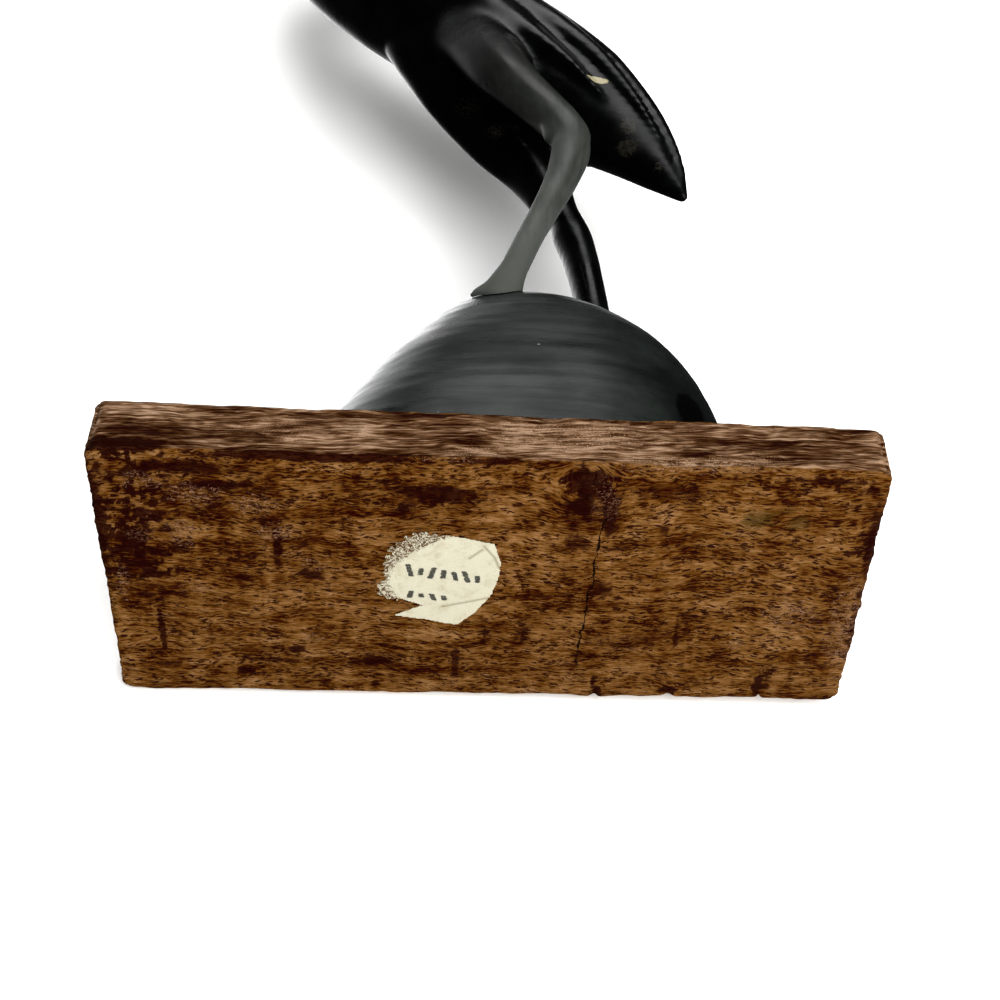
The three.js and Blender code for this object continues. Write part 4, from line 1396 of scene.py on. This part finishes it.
@dataclass
class Bird:
    """The bird, carved in one piece: trunk, wings, legs, neck and head."""

    voxel: float = 0.39
    # How much larger than the mound the space is that is cut out of the feet
    seat_margin: float = 0.06
    # Faces round and along each limb, and how blunt its ends are
    trunk_net: Net = (64, 120, 10)
    neck_net: Net = (40, 70, 10)
    head_net: Net = (36, 80, 10)
    leg_net: Net = (32, 60, 8)
    cuff_net: Net = (16, 20, 8)
    toe_net: Net = (14, 16, 4)
    feather_net: Net = (20, 70, 3)
    eye_net: tuple[int, int] = (20, 14)
    trunk: tuple[Station, ...] = (
        (27.4, 0, 76.0, 0.8, 0.6),
        (23.8, 0, 83.2, 3.0, 3.5),
        (19.0, 0, 91.2, 5.3, 6.1),
        (12.0, 0, 100.2, 7.8, 8.8),
        (3.6, 0, 110.0, 8.8, 10.0),
        (-5.4, 0, 119.8, 9.1, 10.5),
        (-15.0, 0, 129.8, 8.9, 10.4),
        (-24.0, 0, 139.8, 8.2, 9.4),
        (-30.0, 0, 149.5, 6.8, 7.6),
        (-31.5, 0, 159.0, 5.4, 5.6),
        (-29.6, 0, 167.0, 4.4, 4.6),
    )
    neck: tuple[Station, ...] = (
        (-31.0, 0, 155.0, 5.2, 5.4),
        (-30.8, 0, 162.5, 4.8, 5.0),
        (-27.2, 0, 171.0, 4.1, 4.3),
        (-22.2, 0, 178.6, 3.6, 3.8),
        (-17.6, 0, 186.2, 3.3, 3.5),
        (-16.2, 0, 193.0, 3.4, 3.7),
        (-18.4, 0, 198.0, 3.4, 3.4),
    )
    head: tuple[Station, ...] = (
        (-12.0, 0, HEAD_TOP - 3.4, 1.2, 1.4),
        (-14.6, 0, HEAD_TOP - 1.3, 3.0, 3.7),
        (-18.0, 0, HEAD_TOP, 3.9, 4.6),
        (-21.8, 0, HEAD_TOP - 0.5, 3.4, 3.8),
        (-25.0, 0, HEAD_TOP - 1.6, 2.3, 2.6),
        (-29.0, 0, HEAD_TOP - 3.0, 1.65, 1.9),
        (-35.5, 0, HEAD_TOP - 5.2, 1.1, 1.3),
        (-41.6, 0, HEAD_TOP - 7.2, 0.5, 0.55),
    )
    eye: tuple[float, float, float] = (-20.2, 3.0, HEAD_TOP + 0.9)
    eye_size: float = 1.1
    ring_size: float = 1.35
    ring_depth: float = 0.25
    # The line of the beak: places ahead of the origin, and how far under the head's top it is there
    mouth_ahead: tuple[float, ...] = (21.0, 25.0, 29.0, 35.5, 41.6)
    mouth_under: tuple[float, ...] = (3.2, 2.9, 3.7, 5.5, 7.3)
    mouth_start: float = 22.5
    mouth_depth: float = 0.22
    groove_half: float = 0.3
    feathers: tuple[Feather, ...] = (
        Feather(42, 0.02, 0.72, 5.2, 1.5, -10),
        Feather(73, 0.11, 0.74, 5.2, 1.9, -16),
        Feather(105, 0.22, 0.74, 5.2, 2.1, -20),
        Feather(72, 0.46, 0.84, 8.4, 2.5, -14),
    )
    legs: tuple[tuple[Station, ...], ...] = (
        (
            (-13.4, -0.6, 131.0, 5.0, 6.6),
            (-7.4, -2.2, 120.6, 5.2, 6.6),
            (-3.3, -4.2, 110.4, 5.1, 6.0),
            (0.2, -6.5, 99.2, 4.4, 4.6),
            (4.3, -7.8, 90.1, 3.4, 3.4),
            (8.1, -8.0, 83.8, 3.0, 3.0),
            (11.0, -8.0, 78.8, 2.8, 2.9),
            (12.0, -8.0, 76.8, 2.2, 2.2),
        ),
        (
            (10.6, -8.0, 80.6, 2.4, 2.6),
            (10.6, -8.0, 76.0, 2.7, 2.8),
            (9.2, -8.0, 68.8, 2.15, 2.35),
            (6.8, -8.0, 61.0, 1.85, 1.95),
            (4.8, -8.0, 55.0, 1.75, 1.8),
            (3.0, -7.9, 49.0, 1.75, 1.8),
            (1.4, -7.6, 44.0, 2.1, 2.5),
            (0.6, -7.2, 41.0, 2.2, 3.0),
        ),
        (
            (-14.4, 0.4, 129.0, 5.4, 7.4),
            (-9.2, 1.4, 119.0, 6.0, 8.4),
            (-4.4, 3.4, 109.2, 5.4, 8.0),
            (0.9, 5.6, 99.7, 4.4, 6.2),
            (6.2, 6.0, 90.0, 3.5, 4.4),
            (9.5, 6.0, 81.0, 2.9, 3.1),
            (11.0, 6.0, 77.6, 2.6, 2.6),
        ),
        (
            (9.6, 6.0, 82.0, 2.6, 2.6),
            (10.9, 6.0, 77.0, 2.8, 2.9),
            (12.4, 6.0, 70.0, 2.5, 2.6),
            (13.4, 6.0, 63.0, 2.3, 2.35),
            (14.2, 6.0, 56.0, 2.2, 2.25),
            (15.0, 5.8, 49.0, 2.3, 2.3),
            (15.8, 5.4, 43.0, 2.8, 3.0),
            (16.2, 5.0, 38.0, 3.0, 3.4),
        ),
    )
    # The points that the thighs' carved feathers end in, in front of the hock and on the far leg
    cuffs: tuple[tuple[Station, ...], ...] = (
        ((8.2, -8.0, 84.4, 1.7, 1.9), (7.7, -8.1, 80.2, 1.3, 1.5), (7.0, -8.2, 77.0, 0.6, 0.6)),
        ((-4.6, 2.4, 101.4, 0.6, 0.8), (0.0, 1.6, 97.0, 0.8, 1.1), (4.6, 2.2, 92.4, 0.4, 0.5)),
    )
    # Each foot's heel and the ends of its toes
    feet: tuple[tuple[tuple[float, float, float], ...], ...] = (
        ((1.8, -7.6, 44.4), (-2.8, -7.4, 42.9), (-0.8, -5.0, 46.0)),
        ((15.4, 5.6, 43.0), (10.6, 5.6, 44.6), (12.6, 8.4, 41.6), (12.2, 2.6, 44.9)),
    )
    scraped: tuple[Spot, ...] = (
        Spot((3.6, -9.7, 99.0), (1.2, 1.6, 1.2), 1.3),
        Spot((19.2, -4.3, 87.9), (1.4, 1.5, 2.0), 0.9),
        Spot((19.1, -2.7, 84.9), (2.2, 1.5, 1.8), 0.9),
        Spot((23.4, -2.2, 81.1), (0.8, 1.2, 1.2), 0.8),
        Spot((-2.3, 1.9, 101.5), (4.5, 2.5, 3.5), 0.7),
        Spot((1.5, 2.4, 95.6), (3.5, 1.8, 1.8), 0.8),
    )
    # A cream spot on the near wing
    chips: tuple[Spot, ...] = (Spot((14.5, -6.8, 96.1), (2.2, 1.0, 0.75)),)
    # Where the limbs melt together
    joints: tuple[Spot, ...] = (
        Spot((-2.6, -7.0, 109.0), (11, 6, 12)),
        Spot((-4.6, 5.0, 110.0), (11, 7, 11)),
        Spot((-31.0, 0, 158.0), (9, 9, 7)),
        Spot((-17.0, 0, 195.0), (5, 5, 4)),
        Spot((11.0, -8.0, 79.0), (4, 4, 3.5), 0.7),
        Spot((10.6, 6.0, 79.0), (5, 4, 4), 0.7),
    )
    skin_rounds: int = 8
    joint_rounds: int = 90
    # How pale the near leg is at these heights, partly paler horn and partly painted sheen
    pale_heights: tuple[float, ...] = (45.0, 52.0, 62.0, 80.0, 92.0, 108.0)
    paleness_and_sheen: tuple[float, ...] = (1.5, 1.1, 0.72, 0.52, 0.24, 0.0)
    # The pale part's places along Y and how softly it ends there, above the near hock and below it
    hock: float = 82.0
    hock_blend: float = 5.0
    pale_above: tuple[float, float] = (-6.0, 3.0)
    pale_below: tuple[float, float] = (-3.0, 2.0)
    # Above the hock it also ends at a leaning line: its place along X at a height, its lean and how softly
    pale_back: float = 9.5
    pale_back_height: float = 90.0
    pale_back_lean: float = 0.45
    pale_back_blend: float = 3.5

    def on_trunk(self, run: Run, t: float, angle: float, hand: Hand) -> tuple[Vector, Vector, Vector]:
        """Finds a place on the trunk's skin.

        Args:
            run: The trunk's run.
            t: The part of the run.
            angle: The turn from the middle of the back, in degrees.
            hand: The side of the bird.

        Returns:
            The place, the direction along the skin and the direction out of it.
        """
        here = run.at(round(t, 5))
        turn = math.radians(angle)
        back = here.deep if here.deep.z > 0 else -here.deep
        place = here.centre + back * math.cos(turn) + here.side * hand.value * math.sin(turn)
        skin = (here.side * hand.value * math.cos(turn) - back * math.sin(turn)).normalized()
        ahead = run.at(round(min(t + 0.01, 1), 5)).centre - run.at(round(max(t - 0.01, 0), 5)).centre
        out = skin.cross(ahead).normalized()
        if out.dot(place - here.centre) < 0:
            out.negate()
        return place, skin, out

    def add_feather(self, bm: bmesh.types.BMesh, run: Run, feather: Feather, hand: Hand) -> None:
        """Adds one feather of a wing, as a long oval blade on the trunk's skin."""

        def section_at(s: float) -> Section:
            """Gives the blade's section from its tip to its root."""
            t = feather.tip + (feather.root - feather.tip) * s
            place, skin, out = self.on_trunk(run, t, feather.angle + feather.drift * s, hand)
            full = min(1, 0.16 + 1.9 * s) * min(1, 0.35 + 2.2 * (1 - s))
            proud = feather.proud * (0.5 + 0.5 * full)
            return Section(place, skin * (feather.wide / 2 * full), out * proud)

        sweep(bm, section_at, *self.feather_net)

    def add_foot(self, bm: bmesh.types.BMesh, heel: tuple[float, float, float], toes: Sequence) -> None:
        """Adds a foot's toes, which lie on the mound."""
        start = Vector(heel)
        for toe in toes:
            end = Vector(toe)
            middle = (start + end) / 2 + Vector((0, 0, 0.3))
            stations = ((*start, 1.4, 1.5), (*middle, 1.2, 1.1), (*end, 0.6, 0.6))
            sweep(bm, Run(stations).at, *self.toe_net)

    def rough_out(self) -> bpy.types.Mesh:
        """Roughs out the whole bird from overlapping limbs and joins them as one skin.

        Returns:
            The joined mesh, in millimetres.
        """
        bm = bmesh.new()
        trunk = Run(self.trunk)
        sweep(bm, trunk.at, *self.trunk_net)
        sweep(bm, Run(self.neck).at, *self.neck_net)
        sweep(bm, Run(self.head).at, *self.head_net)
        around, along = self.eye_net
        for hand in Hand:
            for feather in self.feathers:
                self.add_feather(bm, trunk, feather, hand)
            eye = (self.eye[0], hand.value * self.eye[1], self.eye[2])
            place = Matrix.Translation(eye)
            size = self.eye_size
            bmesh.ops.create_uvsphere(bm, u_segments=around, v_segments=along, radius=size, matrix=place)
        for stations in self.legs:
            sweep(bm, Run(stations).at, *self.leg_net)
        for stations in self.cuffs:
            sweep(bm, Run(stations).at, *self.cuff_net)
        for heel, *toes in self.feet:
            self.add_foot(bm, heel, toes)

        def join(carrier: bpy.types.Object) -> None:
            """Adds the remesh that joins the limbs."""
            remesh = carrier.modifiers.new("join", "REMESH")
            remesh.mode = "VOXEL"
            remesh.voxel_size = self.voxel

        return with_modifiers(mesh_of(bm, "limbs"), "carved_bird", join)

    def carve(self, clay: Clay) -> None:
        """Smooths the joined skin, melts the joints together and cuts the beak's line and the eyes' rings."""
        clay.points = clay.relax(self.skin_rounds, back=0.9)
        weight = np.minimum(1, spotted(self.joints, clay.points))
        clay.points = clay.relax(self.joint_rounds, weight=weight)
        clay.points = clay.relax(self.skin_rounds, back=0.6)
        self.mouth(clay)
        self.eyes(clay)

    def mouth(self, clay: Clay) -> None:
        """Cuts the line between the two halves of the beak."""
        x, _, z = clay.points.T
        middle = np.interp(-x, self.mouth_ahead, HEAD_TOP - np.array(self.mouth_under))
        on_beak = np.clip((-x - self.mouth_start) / 2.0, 0, 1) * (z > HEAD_TOP - 12)
        groove = np.exp(-(((z - middle) / self.groove_half) ** 2)) * on_beak
        clay.points = clay.points - clay.normals() * (self.mouth_depth * groove)[:, None]

    def eyes(self, clay: Clay) -> None:
        """Cuts a ring round each eye."""
        for hand in Hand:
            middle = np.array((self.eye[0], hand.value * self.eye[1], self.eye[2]))
            away = np.linalg.norm((clay.points - middle)[:, (0, 2)], axis=1)
            same_side = clay.points[:, 1] * hand.value > 1.0
            near = (clay.points[:, 2] > HEAD_TOP - 8) * same_side
            off_ring = away - self.eye_size * self.ring_size
            ring = np.exp(-((off_ring / self.groove_half) ** 2)) * near
            clay.points = clay.points - clay.normals() * (self.ring_depth * ring)[:, None]

    def leg_paleness_and_sheen(self, points: np.ndarray) -> np.ndarray:
        """Gives how pale the near leg is at each point, partly as paler horn and partly as painted sheen."""
        x, y, z = points.T
        by_height = np.interp(z, self.pale_heights, self.paleness_and_sheen)
        back = self.pale_back - self.pale_back_lean * (z - self.pale_back_height)
        above = np.clip((self.pale_above[0] - y) / self.pale_above[1], 0, 1)
        above = above * np.clip((back - x) / self.pale_back_blend, 0, 1)
        below = np.clip((self.pale_below[0] - y) / self.pale_below[1], 0, 1)
        over_hock = np.clip((z - self.hock) / self.hock_blend, 0, 1)
        return by_height * (below + (above - below) * over_hock)

    def build(self, mound: HornMound) -> bpy.types.Object:
        """Builds the bird and cuts its feet to sit on the mound.

        Args:
            mound: The mound under it.

        Returns:
            The piece.
        """
        mesh = self.rough_out()
        clay = Clay(mesh)
        self.carve(clay)
        clay.keep()
        space = mound.shell(*mound.seat_net, margin=self.seat_margin)
        seat = bpy.data.objects.new("seat", mesh_of(space, "seat"))
        bpy.context.scene.collection.objects.link(seat)

        def cut(carrier: bpy.types.Object) -> None:
            """Adds the cut that takes the mound's space out of the feet."""
            boolean = carrier.modifiers.new("seat", "BOOLEAN")
            boolean.operation = "DIFFERENCE"
            boolean.solver = "MANIFOLD"
            boolean.object = seat

        mesh = with_modifiers(mesh, "carved_bird", cut)
        bpy.data.objects.remove(seat)
        clay = Clay(mesh)
        clay.attribute("scraped", spotted(self.scraped, clay.points))
        clay.attribute("cream_spot", spotted(self.chips, clay.points))
        # The near leg's paleness, partly paler horn and partly painted sheen
        clay.attribute("pale", self.leg_paleness_and_sheen(clay.points))
        piece = placed(mesh, "carved_bird", "bird", BlackHorn().material())
        mesh.set_sharp_from_angle(angle=math.radians(HORN_SHARP))
        return piece


# The studio


@dataclass(frozen=True)
class Lamp:
    """A square soft light: its place and side in millimetres, and its power in watts."""

    name: str
    place: tuple[float, float, float]
    side: float
    power: float


@dataclass
class Studio:
    """The pale floor and backdrop, the soft lights and the camera under the figurine.

    The figurine lies on its long side in the camera's eye, which looks up at the underside. So the floor
    and the backdrop are seen from one side only.
    """

    camera_place: tuple[float, float, float] = (-1.76, -146.39, -136.5)
    rise: float = 45.8
    yaw: float = 1.3
    roll: float = 0.8
    focal: float = 64.8
    sensor: float = 36.0
    backdrop_gap: float = 0.25
    stage_size: float = 1500.0
    stage_cells: int = 8
    near_clip: float = 0.005
    pale: Colour = (0.9, 0.9, 0.89)
    # How strongly the stage glows near the figurine and far from it, and the two distances
    glow: float = 0.1
    far_glow: float = 0.9
    glow_start: float = 200.0
    glow_end: float = 700.0
    # The world's light: the side that it is bright on, and the span from its dim part to its brightest
    bright_side: tuple[float, float, float] = (-0.35, 0.25, 0.9)
    dim: float = 0.05
    bright: float = 3.0
    brightening: tuple[float, float] = (0.8, 1.0)
    aim: tuple[float, float, float] = (0, 0, 60)
    lamps: tuple[Lamp, ...] = (
        Lamp("overhead", (20, -520, 480), 460, 3.2),
        Lamp("from_below", (330, -600, -540), 800, 9.8),
        Lamp("far_side", (420, 560, 150), 450, 3.0),
    )

    def camera(self) -> None:
        """Sets the camera at the photograph's viewing angle."""
        rise, yaw, roll = (math.radians(v) for v in (self.rise, self.yaw, self.roll))
        ahead = Vector((math.sin(yaw) * math.cos(rise), math.cos(yaw) * math.cos(rise), math.sin(rise)))
        across = ahead.cross(Vector((0, 0, 1))).normalized()
        upward = across.cross(ahead)
        right = across * math.cos(roll) + upward * math.sin(roll)
        up = upward * math.cos(roll) - across * math.sin(roll)
        data = bpy.data.cameras.new("camera")
        data.sensor_width = self.sensor
        data.lens = self.focal
        data.clip_start = self.near_clip
        camera = bpy.data.objects.new("camera", data)
        turned = Matrix((right, up, -ahead)).transposed().to_4x4()
        camera.matrix_world = Matrix.Translation(Vector(self.camera_place) * MM) @ turned
        bpy.context.scene.collection.objects.link(camera)
        bpy.context.scene.camera = camera

    def one_sided(self, name: str) -> bpy.types.Material:
        """Makes a pale matte material that shows from its front alone."""
        g = Graph(name)
        g.shader.inputs["Base Color"].default_value = (*self.pale, 1)
        g.shader.inputs["Roughness"].default_value = 1.0
        g.shader.inputs["Specular IOR Level"].default_value = 0.0
        g.shader.inputs["Emission Color"].default_value = (1, 1, 1, 1)
        away = g.node("ShaderNodeVectorMath", {0: g.place}, operation="LENGTH").outputs["Value"]
        glow = g.span(away, self.glow_start, self.glow_end, self.glow, self.far_glow)
        g.plug(g.shader.inputs["Emission Strength"], glow)
        clear = g.node("ShaderNodeBsdfTransparent").outputs[0]
        behind = g.node("ShaderNodeNewGeometry").outputs["Backfacing"]
        mixed = g.node("ShaderNodeMixShader", {0: behind, 1: g.shader.outputs[0], 2: clear})
        g.plug(g.tree.nodes["Material Output"].inputs["Surface"], mixed.outputs[0])
        return g.material

    def sheet(self, name: str, matrix: Matrix) -> bpy.types.Object:
        """Adds a large flat stage surface."""
        bm = bmesh.new()
        cells, size = self.stage_cells, self.stage_size * MM
        bmesh.ops.create_grid(bm, x_segments=cells, y_segments=cells, size=size, matrix=matrix)
        mesh = mesh_of(bm, name)
        mesh.materials.append(self.one_sided(name))
        surface = bpy.data.objects.new(name, mesh)
        bpy.context.scene.collection.objects.link(surface)
        return surface

    def stage(self) -> None:
        """Adds the floor that the base stands on, and the backdrop just behind it."""
        floor = self.sheet("floor", Matrix.Identity(4))
        floor.visible_diffuse = False
        floor.visible_glossy = False
        floor.visible_shadow = False
        behind = Matrix.Translation((0, CAD_BOX[1].y + self.backdrop_gap * MM, 0))
        backdrop = self.sheet("backdrop", behind @ Matrix.Rotation(math.pi / 2, 4, "X"))
        backdrop.visible_shadow = False
        backdrop.visible_glossy = False

    def add_lamp(self, lamp: Lamp) -> None:
        """Adds a lamp that faces the figurine."""
        data = bpy.data.lights.new(lamp.name, "AREA")
        data.shape = "SQUARE"
        data.size = lamp.side * MM
        data.energy = lamp.power
        place = Vector(lamp.place)
        light = bpy.data.objects.new(lamp.name, data)
        light.rotation_mode = "QUATERNION"
        light.rotation_quaternion = (place - Vector(self.aim)).to_track_quat("Z", "Y")
        light.location = place * MM
        bpy.context.scene.collection.objects.link(light)

    def surroundings(self) -> None:
        """Makes the world, which is white to the camera and lights the figurine mainly from one side."""
        world = bpy.data.worlds.new("studio")
        world.use_nodes = True
        tree = world.node_tree
        background = tree.nodes["Background"]
        background.inputs["Color"].default_value = (1, 1, 1, 1)
        ahead = tree.nodes.new("ShaderNodeTexCoord").outputs["Generated"]
        facing = tree.nodes.new("ShaderNodeVectorMath")
        facing.operation = "DOT_PRODUCT"
        facing.inputs[1].default_value = self.bright_side
        tree.links.new(ahead, facing.inputs[0])
        back = tree.nodes.new("ShaderNodeMapRange")
        back.interpolation_type = "SMOOTHSTEP"
        names = ("From Min", "From Max", "To Min", "To Max")
        for name, value in zip(names, (*self.brightening, self.dim, self.bright)):
            back.inputs[name].default_value = value
        tree.links.new(facing.outputs["Value"], back.inputs["Value"])
        seen = tree.nodes.new("ShaderNodeLightPath").outputs["Is Camera Ray"]
        strength = tree.nodes.new("ShaderNodeMapRange")
        tree.links.new(seen, strength.inputs["Value"])
        tree.links.new(back.outputs["Result"], strength.inputs["To Min"])
        tree.links.new(strength.outputs["Result"], background.inputs["Strength"])
        bpy.context.scene.world = world

    def build(self) -> None:
        """Sets up the whole studio."""
        bpy.context.scene.view_settings.view_transform = "Standard"
        bpy.context.scene.view_settings.look = "High Contrast"
        self.camera()
        self.stage()
        self.surroundings()
        for lamp in self.lamps:
            self.add_lamp(lamp)


def main() -> None:
    """Builds the figurine and its studio, and reports each piece."""
    logging.basicConfig(level=logging.INFO, format="%(message)s")
    mound = HornMound()
    pieces = [WoodenBase().build(), PaperLabel().build(), mound.build(), Bird().build(mound)]
    for piece in pieces:
        piece.data.calc_loop_triangles()
        LOG.info("%s: %d triangles", piece.name, len(piece.data.loop_triangles))
    Studio().build()


if __name__ == "__main__":
    main()
